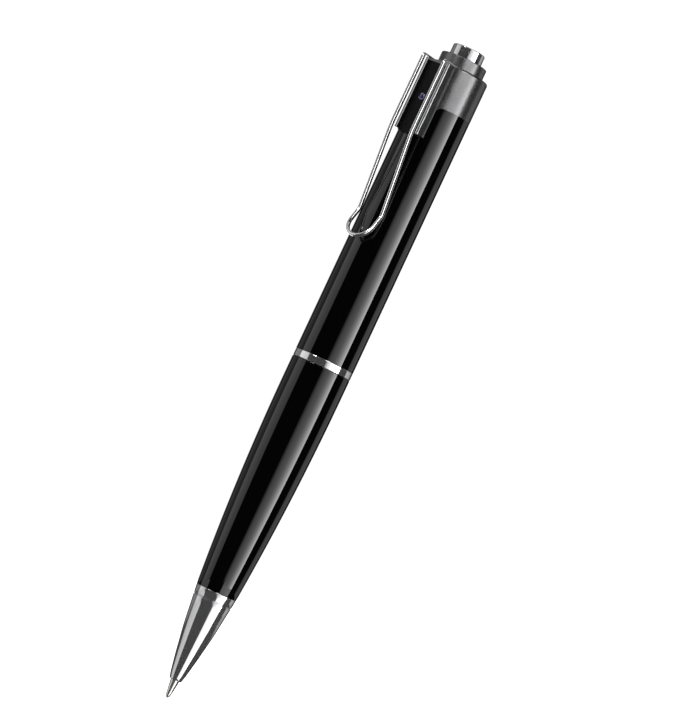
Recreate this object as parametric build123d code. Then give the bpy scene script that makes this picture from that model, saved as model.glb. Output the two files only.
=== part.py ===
from build123d import *
import os
from math import sqrt

os.makedirs("parts", exist_ok=True)

# The pen stands on its writing tip along +Z. The clip and the lens face -Y. Millimetres.

# ------------------------------------------------------------------ driving dimensions
LENGTH = 149.0         # writing ball to the crown of the record button
BARREL_D = 13.1        # parallel part of the barrel
JOINT_AT = 0.505       # top of the lower barrel, as a share of the length
BAND_H = 1.6           # polished band between the halves
NOSE_LEN = 20.0        # polished nose cone
NOSE_TOP_D = 9.0       # nose cone where it meets the lower barrel
TIP_D = 2.65           # nose cone at its lower rim
POINT_OUT = 4.0        # how far the point of the refill stands out of the nose cone
BALL_D = 0.7           # writing ball
REFILL_D = 2.35        # refill tube
CAP_H = 9.2            # cap shell at the back
TONGUE_H = 16.5        # cap shell down to the end of its tongue, in front
BOSS_W = 6.4           # width of the boss and the tongue
BOSS_OUT = 8.1         # the boss stands this far from the axis
CHANNEL_W = 5.2        # channel in the boss that takes the camera block
COLLAR_D = 10.2
COLLAR_H = 2.5
BUTTON_D = 7.2
BUTTON_H = 3.1         # button above the collar, crown included
CROWN = 0.7            # height of the crown's dome
TRAVEL = 0.55          # stroke of the button
LENS_BELOW = 8.7       # lens axis below the top face of the cap
LENS_D = 1.2           # clear lens
BEZEL_D = 1.75
RAIL_W = 0.65          # clip rail, across
RAIL_T = 1.0           # clip rail, through
CLIP_OUT = 9.6         # rail centre from the axis, upper straight part
CLIP_LEN = 41.1        # cap top to the lower end of the clip
CLIP_PITCH = 5.7       # between the rails at the top
CLIP_PITCH_LOW = 6.2   # between the rails at the bottom
WALL = 0.8             # upper barrel
CAP_WALL = 0.4
LOWER_WALL = 1.0       # lower barrel at its mouth
PORT_W, PORT_H, PORT_LEN = 7.5, 2.45, 5.0   # data and charging socket
BOARD_W, BOARD_T = 7.2, 0.8
BATTERY_W, BATTERY_T, BATTERY_H = 7.6, 4.4, 32.0

RUN = 0.05             # radial clearance of moving fits
FIT = 0.025            # radial clearance of fixed fits

# ------------------------------------------------------------------ sizes that follow
R = BARREL_D / 2
BORE = R - WALL
MOUTH = R - LOWER_WALL
SPIGOT = MOUTH - RUN
SPIGOT_BORE = SPIGOT - 1.2
Z_NOSE = POINT_OUT
Z_NOSE_TOP = POINT_OUT + NOSE_LEN
Z_SPLIT = JOINT_AT * LENGTH
Z_BAND = Z_SPLIT + BAND_H
Z_COLLAR_TOP = LENGTH - BUTTON_H
Z_CAP = Z_COLLAR_TOP - COLLAR_H
Z_CAP_LOW = Z_CAP - CAP_H
Z_TONGUE = Z_CAP - TONGUE_H
Z_LENS = Z_CAP - LENS_BELOW
CAP_TOP_WALL = 1.2
CAP_IN = R - CAP_WALL
NECK = CAP_IN - FIT
Z_NECK = Z_CAP - 1.5
HALF_BOSS = BOSS_W / 2
HALF_CHANNEL = CHANNEL_W / 2
Z_BOSS = Z_CAP - 0.5


def tube(outer, inner, z0, z1):
    """Plain round tube from z0 to z1."""
    return Pos(0, 0, z0) * (
        Cylinder(outer, z1 - z0, align=(Align.CENTER, Align.CENTER, Align.MIN))
        - Cylinder(inner, z1 - z0, align=(Align.CENTER, Align.CENTER, Align.MIN))
    )


def rod(radius, z0, z1):
    """Plain round bar from z0 to z1."""
    return Pos(0, 0, z0) * Cylinder(radius, z1 - z0, align=(Align.CENTER, Align.CENTER, Align.MIN))


def block(x0, x1, y0, y1, z0, z1):
    """Box given by its limits."""
    return Pos((x0 + x1) / 2, (y0 + y1) / 2, (z0 + z1) / 2) * Box(x1 - x0, y1 - y0, z1 - z0)


def turned(*lines):
    """Solid of revolution about Z from lines drawn in the XZ plane."""
    wire = Wire(Curve() + list(lines)) if len(lines) > 1 else lines[0].wire()
    return revolve(make_face(wire.edges()), axis=Axis.Z)


def turned_points(*points):
    """Solid of revolution about Z from (radius, z) corners."""
    line = Polyline([(r, 0, z) for r, z in points], close=True)
    return revolve(make_face(line), axis=Axis.Z)


def along_y(radius, y0, y1, z):
    """Round bar along -Y at the height z, from y0 out to y1 (distances from the axis)."""
    return Pos(0, -(y0 + y1) / 2, z) * Rot(90, 0, 0) * Cylinder(radius, y1 - y0)


parts = {}

# ------------------------------------------------------------------ writing end
ball_z = BALL_D / 2
parts["writing_ball"] = Pos(0, 0, ball_z) * Sphere(ball_z)

REFILL_R = REFILL_D / 2
Z_SEAT = Z_NOSE + 6.0
Z_TUBE = Z_SEAT + 2.0
socket_r = ball_z + 0.02
ink_hole = 0.25
tube_in = REFILL_R - 0.375
point = turned_points(
    (ink_hole, 0.3), (0.42, 0.3), (0.56, 0.8), (0.975, POINT_OUT - 0.1), (0.975, Z_SEAT - 0.25),
    (REFILL_R, Z_SEAT), (REFILL_R, Z_TUBE), (tube_in, Z_TUBE), (tube_in, Z_TUBE + 3.0),
    (ink_hole, Z_TUBE + 3.0),
)
parts["refill_point"] = point - Pos(0, 0, ball_z) * Sphere(socket_r)

Z_SPIGOT = Z_SPLIT - 7.2                 # lower end of the coupler
END_PLAY = 0.4
Z_END_CAP = Z_SPIGOT - END_PLAY
Z_TUBE_TOP = Z_END_CAP - 0.6
parts["refill_tube"] = tube(REFILL_R, tube_in, Z_TUBE, Z_TUBE_TOP)
ink_top = Z_TUBE_TOP - 10
parts["ink_column"] = rod(tube_in, Z_TUBE + 3.0, ink_top)
parts["ink_follower"] = rod(tube_in, ink_top, ink_top + 3.0)
end_cap_r = PORT_W / 2 - 0.45
parts["refill_end_cap"] = rod(end_cap_r, Z_END_CAP - 4.0, Z_END_CAP) - rod(
    REFILL_R, Z_END_CAP - 4.0, Z_TUBE_TOP)

# nose cone: a slightly bellied cone with one fine groove near its top
nose_top = NOSE_TOP_D / 2
tip_r = TIP_D / 2
span = nose_top - tip_r
shape = [(0.0, 0.0), (0.07, 0.118), (0.225, 0.307), (0.38, 0.472), (0.535, 0.638), (0.69, 0.764), (1.0, 1.0)]
profile = Spline([(tip_r + span * f, 0, Z_NOSE + NOSE_LEN * s) for s, f in shape])
nose_spigot = nose_top - 0.9
Z_NOSE_SPIGOT = Z_NOSE_TOP + 6.0
seat_bore = REFILL_R + 0.03
z_seat_face = Z_SEAT - 0.06
rest = Polyline([
    (nose_top, 0, Z_NOSE_TOP), (nose_spigot, 0, Z_NOSE_TOP), (nose_spigot, 0, Z_NOSE_SPIGOT),
    (nose_spigot - 1.1, 0, Z_NOSE_SPIGOT), (nose_spigot - 1.1, 0, Z_NOSE + 13.5),
    (seat_bore, 0, Z_NOSE + 12.0), (seat_bore, 0, z_seat_face), (1.0, 0, z_seat_face - 0.3),
    (1.0, 0, Z_NOSE), (tip_r, 0, Z_NOSE),
])
nose = revolve(make_face(profile.edges() + rest.edges()), axis=Axis.Z)
z_groove = Z_NOSE_TOP - 2.0
groove_r = nose_top - 0.5
nose -= tube(nose_top + 1, groove_r - 0.12, z_groove - 0.14, z_groove + 0.14)
parts["nose_cone"] = nose

# lower barrel: a long even arc from the nose up to the parallel part
ARC_TOP = Z_SPLIT - 3.2
arc_mid_z = (Z_NOSE_TOP + ARC_TOP) / 2
arc_mid_r = R - (R - nose_top) * 0.25
outer = ThreePointArc((nose_top, 0, Z_NOSE_TOP), (arc_mid_r, 0, arc_mid_z), (R, 0, ARC_TOP))
z_mouth = Z_SPLIT - 0.03
throat = nose_spigot + FIT
z_throat = Z_NOSE_SPIGOT + 6.0
inner = Polyline([
    (R, 0, ARC_TOP), (R, 0, z_mouth - 0.12), (R - 0.12, 0, z_mouth), (MOUTH, 0, z_mouth),
    (MOUTH, 0, Z_SPLIT - 11.0), (throat, 0, z_throat), (throat, 0, Z_NOSE_TOP),
    (nose_top, 0, Z_NOSE_TOP),
])
parts["lower_barrel"] = revolve(make_face(outer.edges() + inner.edges()), axis=Axis.Z)
parts["refill_guide"] = tube(throat, REFILL_R + RUN, Z_NOSE_SPIGOT, Z_NOSE_SPIGOT + 5.5)

# ------------------------------------------------------------------ joint between the halves
Z_COUPLER_TOP = Z_BAND + 7.2
coupler = turned_points(
    (SPIGOT_BORE, Z_SPIGOT), (SPIGOT - 0.3, Z_SPIGOT), (SPIGOT, Z_SPIGOT + 0.3), (SPIGOT, Z_BAND),
    (BORE, Z_BAND), (BORE, Z_COUPLER_TOP), (SPIGOT_BORE, Z_COUPLER_TOP),
)
END_WALL = 0.8
coupler += rod(SPIGOT_BORE, Z_SPIGOT, Z_SPIGOT + END_WALL)
port_gap = Pos(0, 0, Z_SPIGOT) * extrude(
    RectangleRounded(PORT_W + 4 * FIT, PORT_H + 4 * FIT, 0.5), END_WALL * 2, both=True)
coupler -= port_gap
SEAL_T = 0.72
z_seal = Z_SPIGOT + 4.0
seal_out = MOUTH - 0.01
seal_in = seal_out - SEAL_T
coupler -= tube(SPIGOT + 1, seal_in - 0.02, z_seal - 0.42, z_seal + 0.42)
parts["coupler"] = coupler
parts["seal_ring"] = Pos(0, 0, z_seal) * Torus(seal_out - SEAL_T / 2, SEAL_T / 2)
parts["mid_band"] = turned_points(
    (SPIGOT, Z_SPLIT), (R - 0.1, Z_SPLIT), (R, Z_SPLIT + 0.1), (R, Z_BAND - 0.1),
    (R - 0.1, Z_BAND), (SPIGOT, Z_BAND))

# ------------------------------------------------------------------ cap and upper barrel
reach = BOSS_OUT + 2


def cap_zone():
    """Space of the cap's skin: all round above its lower edge, and the tongue in front."""
    bow = 1.4
    outline = Polyline([
        (-reach, Z_CAP + 1), (-reach, Z_CAP_LOW), (-HALF_BOSS - bow, Z_CAP_LOW)]).edges()
    outline += ThreePointArc((-HALF_BOSS - bow, Z_CAP_LOW),
                             (-HALF_BOSS - bow * (1 - sqrt(0.5)), Z_CAP_LOW - bow * (1 - sqrt(0.5))),
                             (-HALF_BOSS, Z_CAP_LOW - bow)).edges()
    outline += Polyline([(-HALF_BOSS, Z_CAP_LOW - bow), (-HALF_BOSS, Z_TONGUE), (HALF_BOSS, Z_TONGUE),
                         (HALF_BOSS, Z_CAP_LOW - bow)]).edges()
    outline += ThreePointArc((HALF_BOSS, Z_CAP_LOW - bow),
                             (HALF_BOSS + bow * (1 - sqrt(0.5)), Z_CAP_LOW - bow * (1 - sqrt(0.5))),
                             (HALF_BOSS + bow, Z_CAP_LOW)).edges()
    outline += Polyline([(HALF_BOSS + bow, Z_CAP_LOW), (reach, Z_CAP_LOW), (reach, Z_CAP + 1),
                         (-reach, Z_CAP + 1)]).edges()
    front = extrude(Plane.XZ * make_face(outline), reach)
    back = block(-reach, reach, 0, reach, Z_CAP_LOW, Z_CAP + 1)
    return front + back


zone = cap_zone()
upper = tube(R, BORE, Z_BAND, Z_NECK) - (zone & tube(R + 2, NECK, Z_TONGUE - 1, Z_CAP + 1))
window = block(-HALF_CHANNEL, HALF_CHANNEL, -reach, 0, Z_TONGUE, Z_CAP)
upper -= window
parts["upper_barrel"] = upper

shell = turned_points(
    (CAP_IN, Z_TONGUE), (R, Z_TONGUE), (R, Z_CAP - 0.5), (R - 0.15, Z_CAP - 0.15), (R - 0.5, Z_CAP),
    (COLLAR_D / 2 - 0.7 + FIT, Z_CAP), (COLLAR_D / 2 - 0.7 + FIT, Z_CAP - CAP_TOP_WALL),
    (CAP_IN, Z_CAP - CAP_TOP_WALL))
shell &= zone
boss = block(-HALF_BOSS, HALF_BOSS, -BOSS_OUT, 0, Z_TONGUE, Z_BOSS)
boss = chamfer(boss.edges().filter_by(Axis.Z).group_by(Axis.Y)[0], 0.22)
boss -= rod(CAP_IN, Z_TONGUE - 1, Z_CAP)
CHANNEL_TOP = Z_BOSS - 0.5
cap = shell + boss
cap -= block(-HALF_CHANNEL, HALF_CHANNEL, -reach, 0, Z_TONGUE - 1, CHANNEL_TOP)
# two blind slots in the top face hold the clip's tabs
TAB_W, TAB_T, TAB_AT = 0.45, 0.7, COLLAR_D / 2 - 0.05
TAB_X = CLIP_PITCH / 2 - 0.075
slot_depth = 0.95
for side in (-1, 1):
    cap -= block(side * TAB_X - TAB_W / 2 - RUN, side * TAB_X + TAB_W / 2 + RUN,
                 -TAB_AT - TAB_T / 2 - RUN, -TAB_AT + TAB_T / 2 + RUN, Z_CAP - slot_depth, Z_CAP + 1)
    leg_x = side * CLIP_PITCH / 2
    cap -= block(leg_x - RAIL_W / 2 - RUN, leg_x + RAIL_W / 2 + RUN,
                 -reach, -TAB_AT + TAB_T / 2 + RUN, Z_BOSS, Z_CAP + 1)
parts["cap_shell"] = cap

# ------------------------------------------------------------------ camera
BLOCK_OUT = BOSS_OUT - 0.16
half_block = HALF_CHANNEL - FIT
slab_in = BORE + 0.05
z_block_low = Z_TONGUE - 0.3
front_face = Polyline([
    (-half_block, -slab_in), (-half_block, -BLOCK_OUT + 0.5), (-1.62, -BLOCK_OUT + 0.2),
    (-1.45, -BLOCK_OUT), (1.45, -BLOCK_OUT), (1.62, -BLOCK_OUT + 0.2),
    (half_block, -BLOCK_OUT + 0.5), (half_block, -slab_in)], close=True)
slab = Pos(0, 0, z_block_low) * extrude(make_face(front_face), CHANNEL_TOP - z_block_low - FIT)
slab -= rod(R + FIT, z_block_low - 1, Z_TONGUE)
Z_CARRIER = Z_LENS + 3.1
CAM_IN = 3.2
slab += block(-half_block, half_block, -slab_in, -CAM_IN, Z_LENS - 3.5, Z_CARRIER - 0.2)
LENS_TUBE_R = 1.6
slab -= along_y(BEZEL_D / 2, CAM_IN, reach, Z_LENS)
slab -= along_y(LENS_TUBE_R, CAM_IN - 1, BLOCK_OUT - 0.74, Z_LENS)
parts["camera_block"] = slab

bezel_in = BLOCK_OUT - 0.64
bezel = along_y(BEZEL_D / 2, bezel_in, BLOCK_OUT + 0.08, Z_LENS)
bezel = chamfer(bezel.faces().sort_by(Axis.Y)[0].edges(), 0.09)
parts["lens_bezel"] = bezel - along_y(LENS_D / 2, bezel_in - 1, BLOCK_OUT + 1, Z_LENS)
glass_r = LENS_D / 2
dome_r = 1.4
dome_at = BLOCK_OUT - 0.02
dome = Pos(0, -(dome_at - dome_r), Z_LENS) * Sphere(dome_r)
parts["lens_glass"] = along_y(glass_r, bezel_in, dome_at + 0.5, Z_LENS) & dome
barrel_out = BLOCK_OUT - 0.8
lens_tube = along_y(LENS_TUBE_R, CAM_IN, barrel_out, Z_LENS)
lens_tube -= along_y(0.7, CAM_IN - 1, reach, Z_LENS)
lens_tube -= along_y(1.2, CAM_IN - 1, barrel_out - 0.9, Z_LENS)
parts["lens_barrel"] = lens_tube
parts["rear_lens"] = along_y(1.2, barrel_out - 1.7, barrel_out - 0.9, Z_LENS) & (
    Pos(0, -(barrel_out - 3.7), Z_LENS) * Sphere(2.8))
parts["infrared_filter"] = along_y(1.2, CAM_IN + 0.15, CAM_IN + 0.45, Z_LENS)
parts["image_sensor"] = block(-2.2, 2.2, -CAM_IN, -CAM_IN + 0.9, Z_LENS - 2.2, Z_LENS + 2.2)
board_front = PORT_H / 2
board_back = board_front + BOARD_T
z_flex = Z_LENS - 3.7
flex_y = -CAM_IN + 0.9
flex = block(-1.5, 1.5, flex_y, flex_y + 0.15, z_flex - 0.15, Z_LENS + 1.5)
flex += block(-1.5, 1.5, flex_y, board_front - 0.1, z_flex - 0.15, z_flex)
parts["sensor_ribbon"] = flex
parts["ribbon_connector"] = block(-2.0, 2.0, board_front - 1.1, board_front, z_flex - 2.6, z_flex - 0.15)

# ------------------------------------------------------------------ button
collar_in = BUTTON_D / 2 + RUN
collar_spigot = COLLAR_D / 2 - 0.7
z_collar_low = Z_CAP - 2.2
parts["collar"] = turned_points(
    (collar_in, z_collar_low), (collar_spigot, z_collar_low), (collar_spigot, Z_CAP),
    (COLLAR_D / 2, Z_CAP), (COLLAR_D / 2, Z_COLLAR_TOP - 0.2), (COLLAR_D / 2 - 0.2, Z_COLLAR_TOP),
    (collar_in + 0.1, Z_COLLAR_TOP), (collar_in, Z_COLLAR_TOP - 0.1))
parts["collar_nut"] = (Pos(0, 0, Z_CAP - CAP_TOP_WALL - 0.9) * extrude(
    RegularPolygon(BORE - 0.3, 12), 0.9)) - rod(collar_spigot, Z_CAP - 5, Z_CAP)
z_flange = z_collar_low - 0.05
Z_SEAT_TOP = Z_CARRIER + 0.8
pocket_top = Z_SEAT_TOP + 6.0
flange_r = BUTTON_D / 2 + 0.5
side_top = LENGTH - CROWN
b = BUTTON_D / 2
edge_r, edge_z = b - 0.12, side_top + 0.1
crown_r = (edge_r ** 2 + (LENGTH - edge_z) ** 2) / (2 * (LENGTH - edge_z))
mid_z = LENGTH - crown_r + sqrt(crown_r ** 2 - (edge_r / 2) ** 2)
crown = ThreePointArc((edge_r, 0, edge_z), (edge_r / 2, 0, mid_z), (0, 0, LENGTH))
body = Polyline([
    (0, 0, LENGTH), (0, 0, Z_SEAT_TOP + 1.35), (0.9, 0, Z_SEAT_TOP + 1.35), (0.9, 0, pocket_top),
    (b - 0.8, 0, pocket_top), (b - 0.8, 0, z_flange - 0.95), (flange_r, 0, z_flange - 0.95),
    (flange_r, 0, z_flange), (b, 0, z_flange), (b, 0, side_top - 0.05), (edge_r, 0, edge_z)])
parts["record_button"] = revolve(make_face(crown.edges() + body.edges()), axis=Axis.Z)

wire_r = 0.2
coil_r = b - 1.2
coil_h = pocket_top - Z_SEAT_TOP - 2 * wire_r - 0.02
helix = Helix(pitch=coil_h / 5, height=coil_h, radius=coil_r)
coil_section = Plane(origin=helix @ 0, z_dir=helix % 0) * Circle(wire_r)
parts["button_spring"] = Pos(0, 0, Z_SEAT_TOP + wire_r + 0.01) * sweep(coil_section, path=helix)
parts["switch_board"] = rod(BORE - FIT, Z_CARRIER, Z_SEAT_TOP) - block(
    -HALF_CHANNEL, HALF_CHANNEL, -reach, -BORE + 0.3, Z_CARRIER - 1, Z_SEAT_TOP + 1)
half_switch = min(1.4, (coil_r - wire_r) * 0.7 - 0.1)        # the switch sits inside the spring
parts["tactile_switch"] = block(
    -half_switch, half_switch, -half_switch, half_switch, Z_SEAT_TOP, Z_SEAT_TOP + 0.5) + rod(
    half_switch * 0.57, Z_SEAT_TOP + 0.5, Z_SEAT_TOP + 0.75)
lamp_x = flange_r + 0.3
parts["status_lamp"] = block(lamp_x, lamp_x + 0.8, -0.5, 0.5, Z_SEAT_TOP, Z_SEAT_TOP + 0.6)

# ------------------------------------------------------------------ electronics
z_board = Z_SPIGOT + END_WALL + 0.1
parts["main_board"] = block(-BOARD_W / 2, BOARD_W / 2, board_front, board_back, z_board, Z_CARRIER)
z_port = Z_SPIGOT + 0.3
port_outer = Pos(0, 0, z_port) * extrude(RectangleRounded(PORT_W, PORT_H, 0.5), PORT_LEN)
port_hole = Pos(0, 0, z_port) * extrude(RectangleRounded(PORT_W - 0.5, PORT_H - 0.5, 0.3), PORT_LEN)
parts["port_shell"] = port_outer - port_hole
plug_block = port_hole & block(-9, 9, -9, 9, z_port + PORT_LEN - 0.8, z_port + PORT_LEN)
parts["port_insulator"] = plug_block + block(-2.4, 2.4, 0.1, 0.6, z_port + 0.9, z_port + PORT_LEN - 0.8)

z_cell = Z_COUPLER_TOP + 4.0
cell_back = board_front - 0.53
cell = block(-BATTERY_W / 2, BATTERY_W / 2, cell_back - BATTERY_T, cell_back, z_cell, z_cell + BATTERY_H)
parts["battery"] = fillet(cell.edges().filter_by(Axis.Z), 0.6)
parts["foam_pad"] = block(-3, 3, cell_back, board_front, z_cell + 2, z_cell + BATTERY_H - 2)
tabs_z = z_cell + BATTERY_H
for side, name in ((-1, "battery_tab_left"), (1, "battery_tab_right")):
    parts[name] = block(side * 2 - 0.75, side * 2 + 0.75, cell_back - 0.5, board_front,
                        tabs_z, tabs_z + 0.25)
TRAY_OUT = BORE - RUN
z_tray = Z_COUPLER_TOP + 0.3
tray_top = Z_CARRIER - 0.2
tray = tube(TRAY_OUT, TRAY_OUT - 0.8, z_tray, tray_top) & block(
    -R, R, board_front + 0.1, R, z_tray, tray_top)
ribs = 5
rib_step = (tray_top - z_tray - 4.0) / (ribs - 1)
rib_at = [z_tray + 1.5 + i * rib_step for i in range(ribs)]
for z in rib_at:
    tray += rod(TRAY_OUT - 0.4, z, z + 1.0) & block(-R, R, board_back, R, z, z + 1.0)
parts["inner_chassis"] = tray


def chip(width, height, thick, bay, shift=0.0):
    """Chip on the back of the board, in the middle of one bay between two ribs."""
    z = (rib_at[bay] + 1.0 + rib_at[bay + 1]) / 2 + shift
    return block(-width / 2, width / 2, board_back, board_back + thick, z - height / 2, z + height / 2)


parts["power_chip"] = chip(3.0, 3.0, 0.8, 0)
parts["memory_chip"] = chip(6.0, 8.0, 1.0, 1)
parts["crystal"] = chip(2.5, 2.0, 0.6, 2)
parts["processor"] = chip(5.0, 5.0, 0.9, 3)
parts["microphone"] = block(-1.5, 1.5, board_front - 1.1, board_front, tabs_z + 1.2, tabs_z + 5.0)

# ------------------------------------------------------------------ pocket clip
z_leg = Z_BOSS + RUN     # the legs lie in the cap's top, just under its face
leg_t = Z_CAP - Z_BOSS - 2 * RUN
Z_CLIP_END = Z_CAP - CLIP_LEN
Z_BEND = Z_TONGUE
Z_KINK = Z_CLIP_END + 6.1
KINK_OUT = R + 0.45
END_OUT = CLIP_OUT - 0.3
half_t = RAIL_T / 2
slant_up = RAIL_T / 2 * (sqrt((CLIP_OUT - KINK_OUT) ** 2 + (Z_BEND - Z_KINK) ** 2) / (Z_BEND - Z_KINK))
# band seen from the side, as (distance from the axis, z)
side_view = Polyline([
    (TAB_AT - TAB_T / 2, z_leg), (TAB_AT - TAB_T / 2, z_leg + leg_t), (CLIP_OUT + half_t, z_leg + leg_t),
    (CLIP_OUT + half_t, Z_BEND), (KINK_OUT + slant_up + 0.12, Z_KINK), (END_OUT + half_t, Z_CLIP_END),
    (END_OUT - half_t, Z_CLIP_END), (KINK_OUT - slant_up - 0.08, Z_KINK), (CLIP_OUT - half_t, Z_BEND),
    (CLIP_OUT - half_t, z_leg)], close=True)
side_face = make_face(side_view)
wide = CLIP_PITCH_LOW + RAIL_W
band = extrude(Plane.YZ * mirror(side_face, Plane.YZ), wide, both=True)
soft = [e for e in band.edges().filter_by(Axis.X)
        if e.center().Z > Z_BOSS and e.center().Y < -CLIP_OUT]
band = fillet(soft, 0.5)
bends = [e for e in band.edges().filter_by(Axis.X) if Z_CLIP_END + 1 < e.center().Z < Z_CAP - 1]
band = fillet(bends, 1.0)

top, low = CLIP_PITCH / 2, CLIP_PITCH_LOW / 2
h = RAIL_W / 2
end_r = low + h
z_arc = Z_CLIP_END + end_r


def u_outline(offset):
    """Front outline of the U, its edge moved out by offset from the middle of the rails."""
    t, w = top + offset, low + offset
    arc_low = z_arc - w
    lines = Polyline([(-w, z_arc), (-w, Z_KINK), (-t, Z_BEND), (-t, Z_CAP + 2), (t, Z_CAP + 2),
                      (t, Z_BEND), (w, Z_KINK), (w, z_arc)])
    arc = ThreePointArc((w, z_arc), (0, arc_low), (-w, z_arc))
    return make_face(lines.edges() + arc.edges())


frame = u_outline(h) - u_outline(-h)
clip = band & extrude(Plane.XZ * frame, 2 * CLIP_OUT)
clip -= block(-(top - h), top - h, -2 * CLIP_OUT, 0, Z_CAP - 5, Z_CAP + 5)
for side in (-1, 1):
    clip += block(side * TAB_X - TAB_W / 2, side * TAB_X + TAB_W / 2, -TAB_AT - TAB_T / 2,
                  -TAB_AT + TAB_T / 2, Z_CAP - slot_depth + 2 * RUN, z_leg + leg_t / 2)
parts["pocket_clip"] = clip

# ------------------------------------------------------------------ write the pieces
for name, shape_ in parts.items():
    shape_.label = name
    export_step(shape_, f"parts/{name}.step")
    size = shape_.bounding_box()
    print(f"{name:20s} solids {len(shape_.solids())} vol {shape_.volume:9.3f} "
          f"x {size.min.X:7.2f} {size.max.X:7.2f} y {size.min.Y:7.2f} {size.max.Y:7.2f} "
          f"z {size.min.Z:7.2f} {size.max.Z:7.2f}")
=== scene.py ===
import logging
import math
from collections.abc import Callable, Sequence
from dataclasses import dataclass, field
from enum import Enum
from typing import Union

import bmesh
import bpy
from mathutils import Matrix, Quaternion, Vector


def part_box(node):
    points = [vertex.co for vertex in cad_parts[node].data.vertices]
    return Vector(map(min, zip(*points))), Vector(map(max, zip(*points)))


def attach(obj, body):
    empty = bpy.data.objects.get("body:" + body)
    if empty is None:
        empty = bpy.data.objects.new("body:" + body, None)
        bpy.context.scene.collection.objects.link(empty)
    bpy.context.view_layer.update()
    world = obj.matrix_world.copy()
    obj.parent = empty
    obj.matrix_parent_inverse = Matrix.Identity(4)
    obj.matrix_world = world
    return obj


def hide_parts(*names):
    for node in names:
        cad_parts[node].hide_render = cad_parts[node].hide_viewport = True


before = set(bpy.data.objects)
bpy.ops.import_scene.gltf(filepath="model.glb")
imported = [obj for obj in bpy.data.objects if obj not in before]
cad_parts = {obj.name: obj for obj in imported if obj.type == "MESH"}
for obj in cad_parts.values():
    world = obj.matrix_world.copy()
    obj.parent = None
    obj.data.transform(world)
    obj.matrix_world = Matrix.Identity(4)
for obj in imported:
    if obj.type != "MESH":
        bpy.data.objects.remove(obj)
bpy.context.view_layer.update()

log = logging.getLogger("pen_camera")

MM = 0.001            # pieces are drawn in millimetres and stored in metres
ROUND = 144           # facets round the barrel
MIDDLE_ROUND = 128    # facets round the button and its collar
SMALL_ROUND = 64      # facets round a small part
MERGE = 1e-4          # points nearer than this are one point
PAST = 1.0            # how far a cutter stands past what it cuts
WHITE = (1.0, 1.0, 1.0)
Colour = tuple[float, float, float]
Point2 = tuple[float, float]
Point3 = tuple[float, float, float]
Input = Union[float, Colour, "Value", bpy.types.NodeSocket]


# --------------------------------------------------------------------------- shader writing


class Value:
    """A number that varies over a surface. Arithmetic on it adds Math nodes."""

    def __init__(self, look: "Look", socket: bpy.types.NodeSocket) -> None:
        """Keeps the socket and the look that it belongs to."""
        self.look = look
        self.socket = socket

    def _maths(self, operation: str, first: Input, second: Input = 0.0) -> "Value":
        """Adds one Math node.

        Args:
            operation: the node's operation.
            first: the first number.
            second: the second number.

        Returns:
            The node's result.
        """
        node = self.look.node("ShaderNodeMath", {"operation": operation}, {0: first, 1: second})
        return Value(self.look, node.outputs[0])

    def __add__(self, other: Input) -> "Value":
        """Sum."""
        return self._maths("ADD", self, other)

    def __radd__(self, other: float) -> "Value":
        """Sum, the number first."""
        return self._maths("ADD", other, self)

    def __sub__(self, other: Input) -> "Value":
        """Difference."""
        return self._maths("SUBTRACT", self, other)

    def __rsub__(self, other: float) -> "Value":
        """Difference, the number first."""
        return self._maths("SUBTRACT", other, self)

    def __mul__(self, other: Input) -> "Value":
        """Product."""
        return self._maths("MULTIPLY", self, other)

    def __rmul__(self, other: float) -> "Value":
        """Product, the number first."""
        return self._maths("MULTIPLY", other, self)

    def __pow__(self, other: float) -> "Value":
        """Power."""
        return self._maths("POWER", self, other)

    def fraction(self) -> "Value":
        """The part after the point."""
        return self._maths("FRACT", self)

    def sine(self) -> "Value":
        """Sine."""
        return self._maths("SINE", self)

    def angle_to(self, other: Input) -> "Value":
        """Angle of the point (other, this), in radians."""
        return self._maths("ARCTAN2", self, other)

    def size(self) -> "Value":
        """Without its sign."""
        return self._maths("ABSOLUTE", self)


class Nodes:
    """A tree of shader nodes, all added by one method."""

    def __init__(self, tree: bpy.types.NodeTree) -> None:
        """Empties the tree and keeps it."""
        self.tree = tree
        self.tree.nodes.clear()

    def node(self, kind: str, settings: dict | None = None,
             inputs: dict | None = None) -> bpy.types.Node:
        """Adds a node.

        Args:
            kind: the node's type.
            settings: its options, set first.
            inputs: a value, a link or a Value for each named or numbered socket.

        Returns:
            The node.
        """
        node = self.tree.nodes.new(kind)
        for key, setting in (settings or {}).items():
            setattr(node, key, setting)
        for key, given in (inputs or {}).items():
            self._feed(node.inputs[key], given)
        return node

    def _feed(self, socket: bpy.types.NodeSocket, given: Input) -> None:
        """Sets or links one input."""
        if isinstance(given, Value):
            given = given.socket
        if isinstance(given, bpy.types.NodeSocket):
            self.tree.links.new(given, socket)
        elif isinstance(given, tuple) and len(given) == 3 and len(socket.default_value) == 4:
            socket.default_value = (*given, 1.0)
        else:
            socket.default_value = given


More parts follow.
